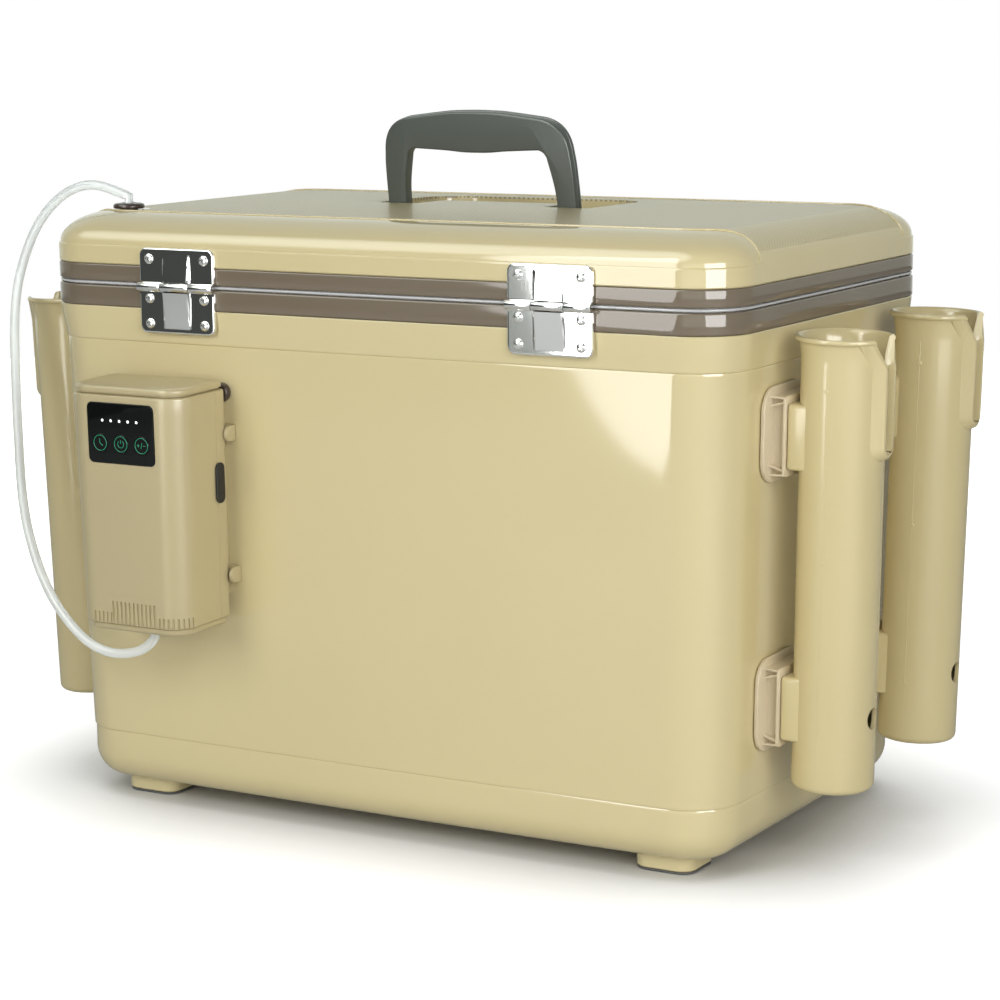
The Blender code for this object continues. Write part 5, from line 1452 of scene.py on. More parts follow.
@dataclass
class RodHolders:
    """The four rod holders and the eight brackets that carry them."""

    form: BoxForm
    finishes: Finishes
    axis_out: float = 0.0385
    y: float = 0.066
    splay: float = 0.019
    bottom: float = 0.0505
    length: float = SEAM - 0.068
    top_radius: float = 0.0247
    low_radius: float = 0.0243
    wall: float = 0.0025
    floor: float = 0.004
    foot_round: float = 0.004
    rim_radius: float = 0.0288
    slot_half: float = 0.00525
    slot_length: float = 0.062
    notch_depth: float = 0.017
    notch_half: float = 0.016
    drain_radius: float = 0.0065
    drain_height: float = 0.044
    steps: int = 112
    bracket_heights: Flat = (0.0475, SEAM - 0.127)
    bracket_back: float = -0.03825
    bracket_plate: float = 0.0025
    bracket_depth: float = 0.012
    pips: tuple[float, float, float] = (0.237, 0.1375, 0.038)

    def outer_profile(self) -> list[Flat]:
        """Return the tube's outside from the middle of its base to its rim.

        Returns:
            Its radii and heights.
        """
        profile = [(0.0, 0.0)]
        foot = self.foot_round
        for angle in quarter(6):
            profile.append((self.low_radius - foot * (1 - math.sin(angle)), foot * (1 - math.cos(angle))))
        flare = self.length - 0.016
        for share in np.linspace(0.06, 1, 16):
            radius = self.low_radius + (self.top_radius - self.low_radius) * share
            profile.append((radius, foot + share * (flare - foot)))
        for share in np.linspace(0.2, 1, 6):
            profile.append((self.top_radius + 0.0014 * share**2, flare + 0.0115 * share))
        roll = self.rim_radius - 0.0015
        profile.append((roll - 0.0006, self.length - 0.0034))
        for k in range(9):
            angle = math.radians(-90 + 22.5 * k)
            profile.append((roll + 0.0015 * math.cos(angle), self.length - 0.0017 + 0.0016 * math.sin(angle)))
        return [*profile, (0.0, self.length - 0.0001)]

    def bore_profile(self) -> list[Flat]:
        """Return the inside of the tube, with its softly flared mouth.

        Returns:
            Its radii and heights.
        """
        low, high = self.low_radius - self.wall, self.top_radius - self.wall
        profile = [(0.0, self.floor), (low - 0.002, self.floor), (low, self.floor + 0.002)]
        for share in (0.5, 1):
            profile.append((low + (high - low) * share, self.floor + 0.002 + share * (self.length - 0.028)))
        top = self.length
        profile += [(0.0229, top - 0.011), (0.0240, top - 0.006), (0.0250, top - 0.0028)]
        profile += [(0.0258, top - 0.0011), (0.0266, top - 0.0004), (0.0275, top + 0.0002)]
        return [*profile, (0.0275, top + 0.001), (0.0, top + 0.001)]

    def slot_outline(self, grow: float, extra: float) -> list[Flat]:
        """Return the slot's outline in Y and Z, with a notch at the rim and a round bottom.

        Args:
            grow: How far its sides are moved out.
            extra: How far it runs above the rim.

        Returns:
            The outline's points.
        """
        half, notch = self.slot_half + grow, self.notch_half + grow
        low = self.length - self.slot_length
        outline = [(notch, self.length + extra), (-notch, self.length + extra)]
        outline.append((-half, self.length - self.notch_depth))
        for step in range(17):
            angle = math.radians(180 + 180 * step / 16)
            outline.append((half * math.cos(angle), low + half * math.sin(angle)))
        return [*outline, (half, self.length - self.notch_depth)]

    def lip(self) -> Piece:
        """Make the raised lip round the slot, which sinks into the rim beside the notch.

        Returns:
            The lip.
        """
        rings = []
        levels = ((0.014, 0.0066), (0.0212, 0.0064), (0.0236, 0.0052), (0.0252, 0.0039), (0.0268, 0.0029),
                  (0.0280, 0.0023), (0.0286, 0.0020), (0.0290, 0.0013), (0.0290, -0.0010))
        for reach, grow in levels:
            ring = []
            for y, z in self.slot_outline(grow, -0.0005):
                limit = reach
                if z > self.length - 0.002:
                    limit = math.sqrt(max((self.rim_radius - 0.0004) ** 2 - y**2, 0.0))
                ring.append((min(reach, limit), y, z))
            rings.append(ring[::-1])
        return skinned(rings)

    def tube(self) -> Piece:
        """Make one rod holder in its own frame, with its slot facing +X.

        Returns:
            The rod holder.
        """
        piece = turned(self.outer_profile(), self.steps)
        carve(piece, self.lip(), Cut.ONTO)
        start = self.bracket_back + self.bracket_depth + CLEARANCE
        for height in self.bracket_heights:
            low, high = (start, -0.020, height - 0.01925), (-0.012, 0.020, height + 0.01925)
            carve(piece, block(low, high, 0.0022, 4), Cut.ONTO)
        carve(piece, turned(self.bore_profile(), self.steps))
        rows = [[(x, y, z) for y, z in self.slot_outline(0.0, 0.002)[::-1]] for x in (0.004, 0.05)]
        carve(piece, skinned(rows))
        path = [(x, 0, self.drain_height) for x in (0.005, 0.05)]
        carve(piece, piped(path, self.drain_radius, 32))
        close_seams(piece, False, 2e-5)
        round_edges(piece, 0.0005, 2, 48)
        seam = [(0, -self.low_radius + 0.0001, 0.006), (0, -self.top_radius + 0.0001, self.length - 0.017)]
        marks = [piped(seam, 0.00022, 6)]
        profile = ((0, -0.0006), (0.00125, -0.0006), (0.00125, 0.0003), (0.0010, 0.00048), (0.0006, 0.0005),
                   (0.0004, 0.0002), (0, 0.0001))
        for z in self.pips:
            radius = self.low_radius + (self.top_radius - self.low_radius) * z / self.length
            turn = Matrix.Translation((0, -radius, z)) @ UPRIGHT
            marks.append(placed(turned(profile, 20), turn))
        return joined(piece, *marks)

    def bracket(self) -> Piece:
        """Make one bracket centred on its own height: two plates, a core and paired fins.

        Returns:
            The bracket.
        """
        back, plate = self.bracket_back, self.bracket_plate
        front = back + self.bracket_depth
        outline = [(back, y, z) for y, z in rounded_outline(0.029, 0.028, 0.014, 12)]
        piece = round_edges(extruded(outline, (plate, 0, 0)), 0.0007, 3)
        core = block((back + 0.001, -0.0165, -0.022), (front - 0.001, 0.0165, 0.022))
        carve(piece, core, Cut.ONTO)
        face = [(front - 0.0016, y, z) for y, z in rounded_outline(0.021, 0.0235, 0.0025, 4)]
        carve(piece, extruded(face, (0.0016, 0, 0)), Cut.ONTO)
        for way in (-1, 1):
            for outer_z, inner_z in ((0.0234, 0.0228), (0.0176, 0.0206)):
                corners = ((back + 0.001, outer_z), (front - 0.0008, inner_z),
                           (front - 0.0008, inner_z - 0.0011), (back + 0.001, outer_z - 0.0012))
                fin = [(x, -0.0206, way * z) for x, z in corners]
                carve(piece, extruded(fin, (0, 0.0412, 0)), Cut.ONTO)
        return round_edges(piece, 0.00025, 2, 50)

    def build(self) -> None:
        """Build one holder and one bracket and place all their copies."""
        form = self.form
        holder, bracket = self.tube(), self.bracket()
        out = form.length / 2 - form.inset(self.bottom) + self.axis_out
        for side_x, side in ((-1, "left"), (1, "right")):
            for side_y, end in ((-1, "front"), (1, "back")):
                name = f"{side}_{end}"
                turn = (-side_x * side_y * math.atan(self.splay), math.atan(form.draft),
                        0.0 if side_x > 0 else math.pi)
                seat = seat_at((side_x * out, side_y * self.y + SIDE_SHIFT, self.bottom), turn)
                finished(copied(holder, seat), f"rod_tube_{name}", self.finishes.rod_tan, "tub",
                         [f"rod_holder_{name}"])
                for level, height in zip(("lower", "upper"), self.bracket_heights):
                    spot = seat @ Matrix.Translation((0, 0, height))
                    finished(copied(bracket, spot), f"rod_mount_{name}_{level}", self.finishes.bracket, "tub",
                             [f"rod_bracket_{name}_{level}"])
        drop(holder)
        drop(bracket)


@dataclass
class Pump:
    """The battery air pump with its control panel, on its wall bracket."""

    form: BoxForm
    finishes: Finishes
    x: float = -0.138
    bottom: float = SEAM - 0.203
    standoff: float = 0.006
    width: float = 0.085
    taper: float = 0.002
    depth: float = 0.051
    height: float = 0.1425
    front_radius: float = 0.016
    back_radius: float = 0.004
    wall: float = 0.0024
    panel_half: Flat = (0.02475, 0.0185)
    panel_corner: float = 0.0035
    panel_pocket: float = 0.0014
    panel_thickness: float = 0.0015
    panel_drop: float = 0.0232
    button_radius: float = 0.0056
    button_spacing: float = 0.0155
    sign_radius: float = 0.0047
    light_pitch: float = 0.0064
    button_drop: float = 0.0062
    port_from_back: float = 0.010
    ear_radius: float = 0.005
    ear_heights: Flat = (0.026, 0.1145)
    rib_pitch: float = 0.00311
    passage: Flat = (0.0035, -0.0307)
    passage_radius: float = 0.0024
    port_share: float = 0.6
    seam_y: float = -0.0115

    def seat(self) -> Matrix:
        """Return the pump's frame, parallel to the drafted wall.

        Returns:
            The frame.
        """
        wall = self.form.front(self.x, self.form.inset(self.bottom))
        place = (self.x, -wall - self.standoff + SIDE_SHIFT, self.bottom)
        return seat_at(place, (math.atan(self.form.draft), 0, 0))

    def plan(self, grow: float, height: float) -> list[Flat]:
        """Return the pump's plan at a height, grown or shrunk.

        Args:
            grow: How far its sides are moved out.
            height: The height above its base.

        Returns:
            The plan's points, with the back on Y = 0.
        """
        half = self.width / 2 - self.taper * (1 - height / self.height) + grow
        front, back = -self.depth - grow, min(grow, 0.0)
        radii = [max(radius + grow, 0.0005) for radius in (self.front_radius,) * 2 + (self.back_radius,) * 2]
        middle = (front + back) / 2
        return [(x, y + middle) for x, y in rounded_outline(half, (back - front) / 2, radii, 14)]

    def ring(self, grow: float, height: float, z: float, shift: float = 0.0) -> list[Point]:
        """Return one level, with the points behind its middle moved back by shift."""
        return [(x, y + (shift if y > -self.depth / 2 else 0.0), z) for x, y in self.plan(grow, height)]

    def front_point(self, distance: float) -> tuple[float, float, float]:
        """Follow the front of the case sideways from its middle.

        Args:
            distance: How far along the surface, positive to the right.

        Returns:
            X and Y of the surface and the angle that it has turned.
        """
        flat = self.width / 2 - self.taper - self.front_radius
        way = 1 if distance > 0 else -1
        angle = max(0.0, abs(distance) - flat) / self.front_radius
        x = min(abs(distance), flat) + self.front_radius * math.sin(angle)
        y = -self.depth + self.front_radius * (1 - math.cos(angle))
        return way * x, y, way * angle

    def ribs(self) -> Piece:
        """Return the cutters for the vent grooves along the foot of the case.

        Returns:
            The cutters, joined.
        """
        cutters = []
        for start, count, top in ((-0.0260, 5, 0.0075), (-0.0119, 11, 0.0147), (0.0229, 8, 0.0070)):
            for k in range(count):
                x, y, angle = self.front_point(start + k * self.rib_pitch)
                groove = block((-0.00078, -0.003, -0.003), (0.00078, 0.0011, top), 0.0006, 2)
                cutters.append(placed(groove, Matrix.Translation((x, y, 0)) @ Matrix.Rotation(angle, 4, "Z")))
        return joined(*cutters)

    def case(self, seat: Matrix) -> None:
        """Build the hollow case with its pocket, vents, port and rounded ends.

        Args:
            seat: The pump's frame.
        """
        top = self.height
        levels = [(-0.0016, 0.0), (-0.0006, 0.0003), (-0.0001, 0.0009), (0.0, 0.0016)]
        levels += [(0.0, z) for z in np.linspace(0.01, top - 0.01, 9)]
        levels += [(0.0, top - 0.0018), (-0.0002, top - 0.0009), (-0.0008, top - 0.0003), (-0.0022, top)]
        piece = skinned([self.ring(grow, z, z) for grow, z in levels])
        inner = [self.ring(-self.wall, z, z, self.wall + 0.002) for z in (self.wall, top - self.wall)]
        carve(piece, skinned(inner))
        centre = top - self.panel_drop
        half_x, half_z = (half + CLEARANCE for half in self.panel_half)
        front = -self.depth + self.panel_pocket
        plan = rounded_outline(half_x, half_z, self.panel_corner + CLEARANCE, 8)
        carve(piece, extruded([(x, front, centre + z) for x, z in plan], (0, -0.004, 0)))
        for index in (-1, 0, 1):
            x, z = index * self.button_spacing, centre - self.button_drop
            path = [(x, y - self.depth, z) for y in (-0.004, 0.006)]
            carve(piece, piped(path, self.button_radius + CLEARANCE, 32))
        carve(piece, self.ribs())
        side = self.width / 2
        port = self.port_share * top
        low = (side - 0.006, -self.port_from_back - 0.0026, port - 0.0075)
        carve(piece, block(low, (side + 0.002, -self.port_from_back + 0.0026, port + 0.0085)))
        for way in (-1, 1):
            ends = (-0.002, top + 0.002)
            line = [(way * (side - self.taper * (1 - z / top)), self.seam_y, z) for z in ends]
            carve(piece, piped(line, 0.0003, 8))
        passage = [(*self.passage, z) for z in (-0.002, self.wall + 0.002)]
        carve(piece, piped(passage, self.passage_radius, 24))
        finished(placed(piece, seat), "pump_body", self.finishes.pump_tan, "tub", ["pump_case"])

    def caps(self, seat: Matrix) -> None:
        """Build the domed top cap and the bottom cap.

        Args:
            seat: The pump's frame.
        """
        base = self.height + CLEARANCE
        levels = [(-0.0030, base), (-0.0030, base + 0.0008), (-0.0018, base + 0.0009),
                  (-0.0015, base + 0.0014)]
        for angle in quarter(8):
            grow = -0.0015 - 0.0024 * (1 - math.cos(angle))
            levels.append((grow, base + 0.0030 + 0.0021 * math.sin(angle)))
        for share in (0.15, 0.35, 0.6, 0.85):
            levels.append((-0.0039 - 0.030 * share, base + 0.0051 + 0.0004 * (1 - (1 - share) ** 2)))
        rings = []
        for grow, z in levels:
            ring = self.ring(max(grow, -0.0155), self.height, z)
            shrink = 1 - max(0.0, -0.0155 - grow) / 0.027
            middle = -self.depth / 2
            rings.append([(x * shrink, (y - middle) * shrink + middle, z) for x, y, z in ring])
        top = placed(skinned(rings), seat)
        finished(top, "pump_lid", self.finishes.pump_tan, "tub", ["pump_top_cap"])
        low = -CLEARANCE - 0.0045
        levels = [(-0.0052, low), (-0.0038, low + 0.0003), (-0.0029, low + 0.0010), (-0.0025, low + 0.0020),
                  (-0.0025, -CLEARANCE - 0.0006), (-0.0030, -CLEARANCE)]
        piece = skinned([self.ring(grow, 0.0, z) for grow, z in levels])
        passage = [(*self.passage, z) for z in (-0.01, 0.002)]
        carve(piece, piped(passage, self.passage_radius, 24))
        finished(placed(piece, seat), "pump_base", self.finishes.pump_tan, "tub", ["pump_bottom_cap"])

    def panel(self, seat: Matrix) -> None:
        """Build the glossy control panel, its buttons with plain signs and its level lights.

        Args:
            seat: The pump's frame.
        """
        centre = self.height - self.panel_drop
        back = -self.depth + self.panel_pocket - CLEARANCE
        face = back - self.panel_thickness
        plan = rounded_outline(*self.panel_half, self.panel_corner, 10)
        piece = extruded([(x, back, centre + z) for x, z in plan], (0, -self.panel_thickness, 0))
        round_edges(piece, 0.0003, 3, 60)
        row = centre - self.button_drop
        for index, name in ((-1, "timer"), (0, "power"), (1, "speed")):
            x = index * self.button_spacing
            path = [(x, face - 0.002, row), (x, back + 0.002, row)]
            carve(piece, piped(path, self.button_radius + CLEARANCE * 0.6, 48))
            self.button(seat @ Matrix.Translation((x, face, row)), name)
        finished(placed(piece, seat), "panel_glass", self.finishes.glass, "tub", ["control_panel"])
        profile = ((0, -0.0003), (0.00085, -0.0003), (0.00085, 0.0), (0.0006, 0.00016), (0, 0.0002))
        lights = []
        for k in range(-2, 3):
            spot = Matrix.Translation((-0.0006 + self.light_pitch * k, face, centre + 0.0078))
            turn = seat @ spot @ UPRIGHT
            lights.append(placed(turned(profile, 20), turn))
        finished(joined(*lights), "level_lights", self.finishes.lamp, "tub")

    def button(self, seat: Matrix, name: str) -> None:
        """Build one button with its ring and sign, on its own body.

        Args:
            seat: The frame at the middle of the button, with the panel's face on Y = 0.
            name: The button's name.
        """
        radius = self.button_radius
        profile = [(0, -0.0058), (radius, -0.0058), (radius, 0.0001), (radius - 0.0002, 0.0003),
                   (0.0, 0.0003)]
        cap = placed(turned(profile, 64), seat @ UPRIGHT)
        finished(cap, f"{name}_key", self.finishes.glass, f"{name}_button", [f"button_{name}"])
        face, line = -0.00031, 0.00019
        circle = np.linspace(0, 2 * math.pi, 56, endpoint=False)
        ring = [(self.sign_radius * math.cos(a), face, self.sign_radius * math.sin(a)) for a in circle]
        strokes = [piped(ring, line, 8, True)]
        if name == "timer":
            paths = [[(-0.0002, 0.0026), (-0.0002, 0.0)], [(-0.0002, 0.0), (0.0020, -0.0016)]]
        elif name == "power":
            arc = np.radians(np.linspace(125, 415, 30))
            paths = [[(0.0022 * math.cos(a), 0.0022 * math.sin(a)) for a in arc],
                     [(0.0, 0.0026), (0.0, 0.0004)]]
        else:
            paths = [[(-0.0032, 0.0), (-0.0014, 0.0)], [(-0.0023, 0.0009), (-0.0023, -0.0009)],
                     [(0.0006, 0.0018), (-0.0004, -0.0018)], [(0.0015, 0.0), (0.0031, 0.0)]]
        strokes += [piped([(x, face, z) for x, z in path], line, 8) for path in paths]
        finished(placed(joined(*strokes), seat), f"{name}_sign", self.finishes.green, f"{name}_button",
                 shading=Shading.ROUND)

    def mounting(self, seat: Matrix) -> None:
        """Build the wall bracket with its ears, the rubber hanger and the port's plug.

        Args:
            seat: The pump's frame.
        """
        half = self.width / 2
        back = self.standoff - CLEARANCE
        hanger = self.height - 0.002
        low, high = (-half + 0.006, CLEARANCE, 0.012), (half - 0.006, back, hanger - 0.0078)
        piece = block(low, high, 0.001)
        start, end = half + CLEARANCE, half + CLEARANCE + 0.0022
        radius = self.ear_radius
        profile = [(0, start), (radius, start), (radius, end - 0.0012), (radius - 0.0004, end - 0.0004),
                   (radius - 0.0013, end), (0, end)]
        for height in self.ear_heights:
            low, high = (-end, CLEARANCE, height - radius), (end, back - CLEARANCE, height + radius)
            carve(piece, block(low, high, 0.0008, 2), Cut.ONTO)
            for way in (-1, 1):
                turn = Matrix.Translation((0, 0, height)) @ Matrix.Rotation(way * math.radians(90), 4, "Y")
                carve(piece, placed(turned(profile, 40), turn), Cut.ONTO)
        finished(placed(piece, seat), "pump_wall_bracket", self.finishes.pump_tan, "tub", ["pump_bracket"])
        bar = [(x, back, hanger + z - 0.0014) for x, z in rounded_outline(half, 0.0061, 0.0060, 14)]
        piece = round_edges(extruded(bar, (0, CLEARANCE - back, 0)), 0.0012, 4)
        finished(placed(piece, seat), "pump_hanging_strap", self.finishes.brown, "tub", ["pump_hanger"])
        port = self.port_share * self.height
        y, inner = -self.port_from_back, half - self.taper * 0.4 + 2 * CLEARANCE
        plan = rounded_outline(0.00425, 0.0125, 0.0038, 12)
        piece = extruded([(inner, y + away, port + z) for away, z in plan], (0.0011, 0, 0))
        round_edges(piece, 0.0004, 3)
        for low, high in (((0.0001, -0.0016, -0.0125), (0.0011, 0.0016, -0.0095)),
                          ((-0.0022, -0.0020, -0.0070), (0.0005, 0.0020, 0.0070))):
            corners = [(inner + dx, y + dy, port + dz) for dx, dy, dz in (low, high)]
            carve(piece, block(*corners, 0.0003, 2), Cut.ONTO)
        finished(placed(piece, seat), "port_plug", self.finishes.rubber, "port_flap", ["port_cover"])

    def build(self) -> None:
        """Build the pump."""
        seat = self.seat()
        self.case(seat)
        self.caps(seat)
        self.panel(seat)
        self.mounting(seat)


@dataclass
class AirLine:
    """The grommet, the clear hose outside and the tube with its stone inside."""

    finishes: Finishes
    radius: float = 0.003
    points: int = 130
    smoothings: int = 12
    grommet: Flat = (-0.203, -0.102506)
    grommet_radius: float = 0.010
    flange_low: float = 0.3782
    flange_top: float = 0.3818
    tip: Point = (-0.1345, -0.179406, 0.1228)
    swing: tuple[Point, ...] = (
        (0.0, 0.0, 0.0076), (-0.0141, 0.0044, 0.0274), (-0.0346, 0.0088, 0.0492), (-0.0614, 0.0123, 0.0605),
        (-0.0868, 0.0136, 0.0570), (-0.1024, 0.0120, 0.0416), (-0.1074, 0.0112, 0.0343),
        (-0.1076, 0.0095, 0.0256), (-0.1006, 0.0008, -0.0054), (-0.0887, -0.0099, -0.0428),
        (-0.0677, -0.0160, -0.0686), (-0.0406, -0.0172, -0.0785), (-0.0206, -0.0143, -0.0686),
        (-0.0075, -0.0101, -0.0488), (-0.0019, -0.0051, -0.0291), (-0.0010, 0.0, -0.0050),
    )
    inner_route: tuple[Point, ...] = (
        (-0.203, -0.103, 0.3713), (-0.194, -0.097, 0.3180), (-0.188, -0.095, 0.2402),
        (-0.186, -0.092, 0.1595), (-0.185, -0.089, 0.0922), (-0.174, -0.087, 0.0578),
        (-0.1503, -0.087, 0.0518),
    )
    stone: Point = (-0.150, -0.087, 0.0518)
    stone_radius: float = 0.011
    stone_length: float = 0.042

    def outer(self) -> None:
        exit_point = (*self.grommet, self.flange_low + 2 * CLEARANCE)
        start = np.array((*self.grommet, self.flange_low))
        end = np.array(self.tip) + (0, 0, 0.0006)
        shares = np.linspace(0, 1, len(self.swing))[:, None]
        route = smooth_line(start + (end - start) * shares + np.array(self.swing), self.points)
        for _ in range(self.smoothings):
            route[1:-1] = (route[:-2] + 2 * route[1:-1] + route[2:]) / 4
        line = np.vstack([exit_point, route, end - (0, 0, 0.003), self.tip])
        piece = finished(piped(line, self.radius, 24), "air_hose", self.finishes.hose, "",
                         ["air_tube"], Shading.ROUND)
        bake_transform(piece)

    def inner(self) -> None:
        """Build the tube that hangs into the tank, and its air stone."""
        route = [(x, y + SIDE_SHIFT, z) for x, y, z in self.inner_route]
        line = np.vstack([(*self.grommet, self.flange_low - CLEARANCE), smooth_line(route, 60)])
        piece = finished(piped(line, self.radius, 20), "tank_air_tube", self.finishes.hose, "",
                         ["inner_air_tube"], Shading.ROUND)
        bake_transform(piece)
        radius, length = self.stone_radius, self.stone_length
        profile = [(0, 0), (radius * 0.45, 0), (radius * 0.5, 0.0006), (radius * 0.5, 0.003),
                   (radius * 0.9, 0.0034), (radius, 0.0050), (radius, length - 0.003),
                   (radius - 0.0008, length - 0.001), (radius - 0.0025, length), (0, length)]
        x, y, z = self.stone
        turn = Matrix.Translation((x, y + SIDE_SHIFT, z)) @ Matrix.Rotation(math.radians(90), 4, "Y")
        finished(placed(turned(profile, 48), turn), "bubble_stone", self.finishes.stone, "tub",
                 ["air_stone"])

    def build(self) -> None:
        """Build the air line's pieces."""
        self.outer()
        self.inner()
        low, top, wide = self.flange_low, self.flange_top, self.grommet_radius
        bore = self.radius + CLEARANCE
        profile = [(bore, low - 0.0063), (0.0052, low - 0.0063), (0.0060, low - 0.0055),
                   (0.0058, low - 0.0002), (wide - 0.0006, low), (wide, low + 0.0006), (wide, low + 0.0014),
                   (wide - 0.0002, low + 0.0022), (wide - 0.0009, low + 0.0029),
                   (wide - 0.0018, low + 0.0032), (0.0070, top - 0.0003), (0.0056, top - 0.0001),
                   (0.0048, top), (0.0040, top - 0.0002), (bore, top - 0.0010)]
        piece = placed(turned(profile, 72, True), Matrix.Translation((*self.grommet, 0)))
        finished(piece, "hose_bush", self.finishes.brown, "lid", ["hose_grommet"],
                 Shading.ROUND)


@dataclass
class Latches:
    """The two draw latches on the far side, made from the CAD nodes with softened edges."""

    form: BoxForm
    frame: dict
    finishes: Finishes
    reach: float = 0.130
    plate: float = 0.0015
    screw_radius: float = 0.0024
    screw_rise: float = 0.0011

    def softened(self, node: str, name: str, body: str, width: float) -> None:
        """Copy a CAD node, merge its faces and round its edges.

        Args:
            node: The CAD node.
            name: The new piece's name.
            body: The body that it rides on.
            width: The edges' rounding.
        """
        source = self.frame["nodes"][node]
        piece = linked(bpy.data.objects.new(name, source.data.copy()))

        def work() -> None:
            """Merge doubles and flat neighbours."""
            bpy.ops.mesh.remove_doubles(threshold=1e-6)
            bpy.ops.mesh.dissolve_limited(angle_limit=math.radians(1))

        in_edit(piece, work)
        if width:
            round_edges(piece, width, 3, 35)
        finished(piece, name, self.finishes.steel, body, [node])

    def build(self) -> None:
        """Build both latches and their screws."""
        face = self.form.front(self.reach) + CLEARANCE + self.plate + SIDE_SHIFT
        screw = cross_screw(self.screw_radius, self.screw_rise)
        spots = {"tub": ((-0.0155, -0.034), (0.0155, -0.034), (0.0, -0.0105)),
                 "lid": ((-0.0095, 0.0061), (0.0095, 0.0061))}
        for side, name in ((-1, "left"), (1, "right")):
            self.softened(f"latch_base_{name}", f"catch_base_{name}", "tub", 0.0004)
            self.softened(f"latch_keeper_{name}", f"catch_keeper_{name}", "lid", 0.0004)
            self.softened(f"latch_lever_{name}", f"catch_lever_{name}", f"lever_{name}", 0.0005)
            self.softened(f"latch_bail_{name}", f"catch_bail_{name}", f"bail_{name}", 0.0)
            for body, places in spots.items():
                heads = []
                for x, z in places:
                    spot = Matrix.Translation((side * self.reach + x, face, SEAM + z))
                    heads.append(copied(screw, spot @ Matrix.Rotation(math.pi, 4, "Z")))
                finished(joined(*heads), f"catch_screws_{body}_{name}", self.finishes.steel, body)
        drop(screw)


# The studio


def heading(bearing: float, elevation: float) -> Vector:
    """Return a direction from its bearing, counted from -Y towards +X, and its elevation in degrees."""
    turn, rise = math.radians(bearing), math.radians(elevation)
    return Vector((math.sin(turn) * math.cos(rise), -math.cos(turn) * math.cos(rise), math.sin(rise)))


@dataclass(frozen=True)
class Softbox:
    """A lamp given by the direction in which it is seen from the box's near corner."""

    name: str
    bearing: float
    elevation: float
    distance: float
    half_width: float
    half_height: float
    radiance: float
    rise: float = 0.0
    oval: bool = False
    mirrored: bool = True
    lights: bool = True
    seen_from: Point = (0.18, -0.15, 0.31)

    def build(self) -> None:
        """Place the lamp."""
        way = heading(self.bearing, self.elevation)
        data = bpy.data.lights.new(self.name, "AREA")
        data.shape = "ELLIPSE" if self.oval else "RECTANGLE"
        wide, high = (math.tan(math.radians(half)) for half in (self.half_width, self.half_height))
        data.size, data.size_y = 2 * self.distance * wide, 2 * self.distance * high
        area = data.size * data.size_y * (math.pi / 4 if self.oval else 1)
        data.energy = self.radiance * math.pi * area
        lamp = linked(bpy.data.objects.new(self.name, data))
        lamp.location = Vector(self.seen_from) + way * self.distance + Vector((0, 0, self.rise))
        lamp.rotation_euler = (-way).to_track_quat("-Z", "Y").to_euler()
        lamp.visible_camera = False
        lamp.visible_glossy = self.mirrored
        lamp.visible_diffuse = self.lights


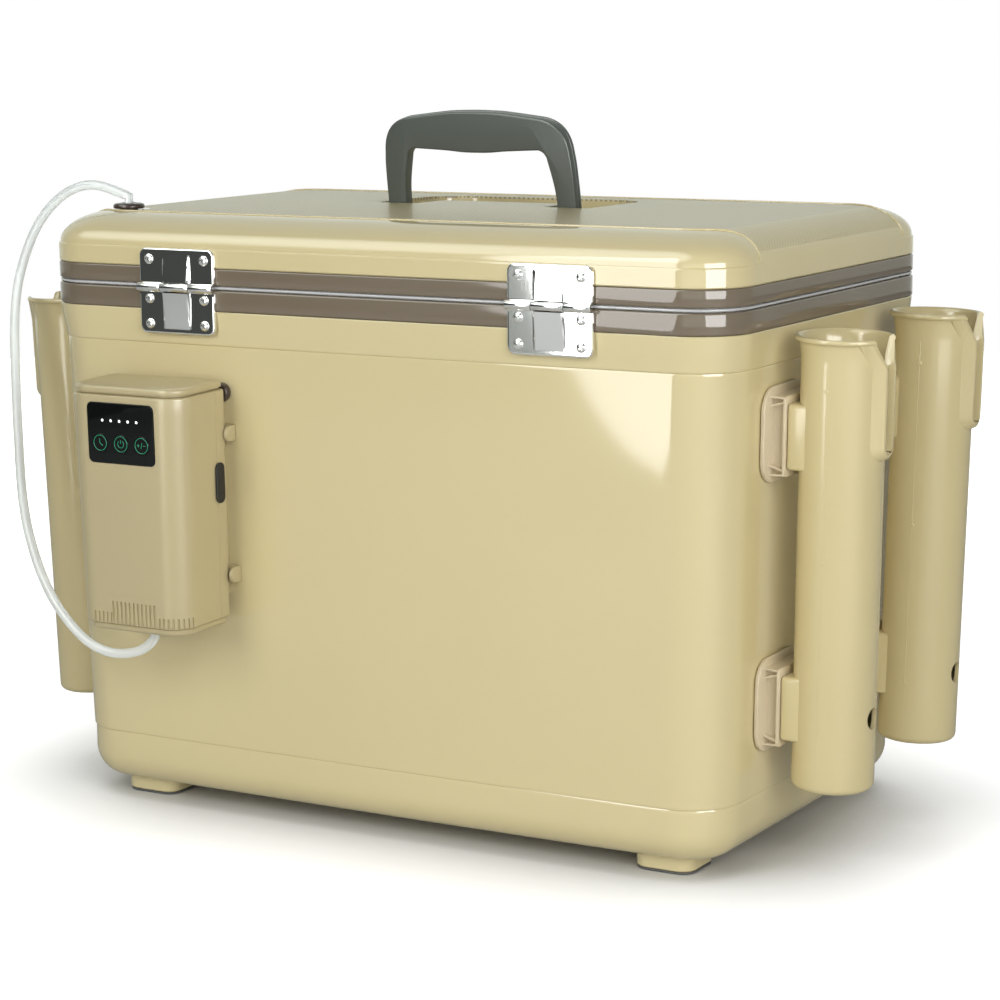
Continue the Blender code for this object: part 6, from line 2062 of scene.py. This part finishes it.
@dataclass(frozen=True)
class Studio:
    """The camera, the floor, the lamps and the even light around."""

    position: Point = (0.9147, -1.574606, 0.4996)
    target: Point = (0.009, 0.000494, 0.190)
    roll: float = math.radians(-0.48)
    lens: float = 103.104
    ambient: float = 0.27
    far_side: float = 0.04
    far_cone: tuple[float, ...] = (130, 0, 20, 80)
    mirror: float = 0.40
    mirrored_sky: tuple[tuple[float, ...], ...] = (
        (1.0, -150, 12, 25, 70), (5.0, -33, 48, 12, 32), (1.6, 18, 0, 16, 30), (0.07, -52, 0, 18, 20.5),
    )
    tint: Point = (0.95, 1.0, 0.94)
    floor_radius: float = 2.5
    floor_grey: Point = (0.60, 0.60, 0.60)
    glow_reach: Flat = (0.5, 1.5)
    glow: Flat = (0.80, 1.0)
    # Painted shadow: how far the ambient occlusion reaches, and how far it dims the floor's glow near the
    # box.
    painted_shadow_reach: float = 0.12
    painted_shadow_depth: float = 0.35
    lamps: tuple[Softbox, ...] = (
        Softbox("oval_box", -23.7, 0, 1.0, 11.3, 35.8, 6.5, rise=0.44, oval=True, lights=False),
        Softbox("side_box", 60, 9, 1.2, 19, 16, 11.0, lights=False),
        Softbox("front_key", -23.5, 20, 1.5, 12, 17, 4.6, mirrored=False),
        Softbox("side_key", 53, 15, 1.6, 21, 21, 4.0, mirrored=False),
        Softbox("back_fill", -162, 13, 2.0, 20, 20, 1.4, mirrored=False),
    )

    def camera(self) -> None:
        """Place the camera at the photograph's viewing angle."""
        data = bpy.data.cameras.new("camera")
        data.lens, data.sensor_width, data.clip_end = self.lens, 36, 100
        eye = linked(bpy.data.objects.new("camera", data))
        position = Vector(self.position)
        ahead = (Vector(self.target) - position).normalized()
        right = ahead.cross(Vector((0, 0, 1))).normalized()
        up = right.cross(ahead)
        across = right * math.cos(self.roll) + up * math.sin(self.roll)
        above = up * math.cos(self.roll) - right * math.sin(self.roll)
        turn = Matrix((across, above, -ahead)).transposed().to_4x4()
        eye.matrix_world = Matrix.Translation(position) @ turn
        bpy.context.scene.camera = eye

    def world(self) -> None:
        """Light the scene evenly, white behind it, with a dark studio corner for mirrors."""
        world = bpy.data.worlds.new("studio")
        world.use_nodes = True
        bpy.context.scene.world = world
        wires = Wires(world.node_tree)
        rays = wires.add("LightPath", {}).outputs
        way = wires.add("TexCoord", {}).outputs["Generated"]

        def cone(bearing: float, elevation: float, full: float, none: float) -> Socket:
            """Return a mask of the sky round a direction.

            Args:
                bearing: The direction's bearing in degrees.
                elevation: Its elevation.
                full: The angle from it up to which the mask is full.
                none: The angle at which the mask ends.

            Returns:
                The mask.
            """
            centre = tuple(heading(bearing, elevation))
            near = wires.add("VectorMath", {0: way, 1: centre}, operation="DOT_PRODUCT").outputs["Value"]
            start, end = (math.cos(math.radians(angle)) for angle in (none, full))
            return wires.ranged(near, start, end, ease="SMOOTHSTEP")

        mirror = self.mirror
        for radiance, *where in self.mirrored_sky:
            mirror = wires.mixed(mirror, radiance, cone(*where))
        ambient = wires.mixed(self.ambient, self.far_side, cone(*self.far_cone))
        level = wires.mixed(ambient, mirror, rays["Is Glossy Ray"])
        for name in ("Is Transmission Ray", "Is Camera Ray"):
            level = wires.mixed(level, 1.0, rays[name])
        background = wires.tree.nodes["Background"]
        sky = wires.tinted((*self.tint, 1), (1, 1, 1, 1), rays["Is Camera Ray"])
        wires.feed(background.inputs["Color"], sky)
        wires.feed(background.inputs["Strength"], level)

    def floor(self) -> None:
        """Lay the pale round floor, which glows white to the camera with a painted shadow from ambient
        occlusion near the box, and keeps the lamps' shadow in its lit colour.
        """
        deselect()
        bpy.ops.mesh.primitive_circle_add(vertices=96, radius=self.floor_radius, fill_type="NGON")
        floor = bpy.context.object
        floor.name = "floor"
        material = bpy.data.materials.new("pale_floor")
        material.use_nodes = True
        wires = Wires(material.node_tree)
        away = wires.add("VectorMath", {0: wires.place()}, operation="LENGTH").outputs["Value"]
        glow = wires.ranged(away, *self.glow_reach, *self.glow)
        # Painted shadow: the glow that the camera sees dims where ambient occlusion is high near the box.
        occlusion = wires.add("AmbientOcclusion", {"Distance": self.painted_shadow_reach}).outputs["AO"]
        lit = wires.maths("MULTIPLY", glow, wires.ranged(occlusion, self.painted_shadow_depth, 1))
        camera_ray = wires.add("LightPath", {}).outputs["Is Camera Ray"]
        finish = {
            "Base Color": (*self.floor_grey, 1), "Roughness": 0.7, "Emission Color": (1, 1, 1, 1),
            "Emission Strength": wires.maths("MULTIPLY", camera_ray, lit),
        }
        for key, value in finish.items():
            wires.feed(wires.tree.nodes["Principled BSDF"].inputs[key], value)
        floor.data.materials.append(material)

    def build(self) -> None:
        """Set up the camera, the lamps, the world and the floor."""
        self.camera()
        for lamp in self.lamps:
            lamp.build()
        self.world()
        self.floor()
        bpy.context.scene.view_settings.view_transform = "Standard"


def dress_frame(frame: dict, finishes: Finishes) -> None:
    """Give every CAD node a finish, for those that stay.

    Args:
        finishes: The finishes.
    """
    by_slot = {
        "tan_plastic": finishes.rod_tan, "black_rubber": finishes.rubber, "band_plastic": finishes.band,
        "liner_plastic": finishes.liner, "foam": finishes.foam, "gasket_rubber": finishes.seal,
        "grey_plastic": finishes.grey, "stainless_steel": finishes.steel, "bracket_plastic": finishes.bracket,
        "pump_plastic": finishes.pump_tan, "panel_black": finishes.glass, "circuit_board": finishes.board,
        "battery_wrap": finishes.battery, "brown_rubber": finishes.brown, "air_stone": finishes.stone,
        "clear_hose": finishes.hose,
    }
    slots = {row["node"]: row["material_slot"] for row in frame["record"]["subparts"]}
    for name, node in frame["nodes"].items():
        node.data.materials.clear()
        node.data.materials.append(by_slot[slots[name]])


def main() -> None:
    """Build the scene in order."""
    logging.basicConfig(level=logging.INFO, format="%(message)s")
    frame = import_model()
    Studio().build()
    finishes = Finishes()
    dress_frame(frame, finishes)
    form = BoxForm()
    AirLine(finishes).build()
    Tub(form, finishes).build()
    Lid(form, finishes).build()
    Handle(finishes).build()
    Hinges(form, finishes).build()
    RodHolders(form, finishes).build()
    Pump(form, finishes).build()
    Latches(form, frame, finishes).build()


if __name__ == "__main__":
    main()
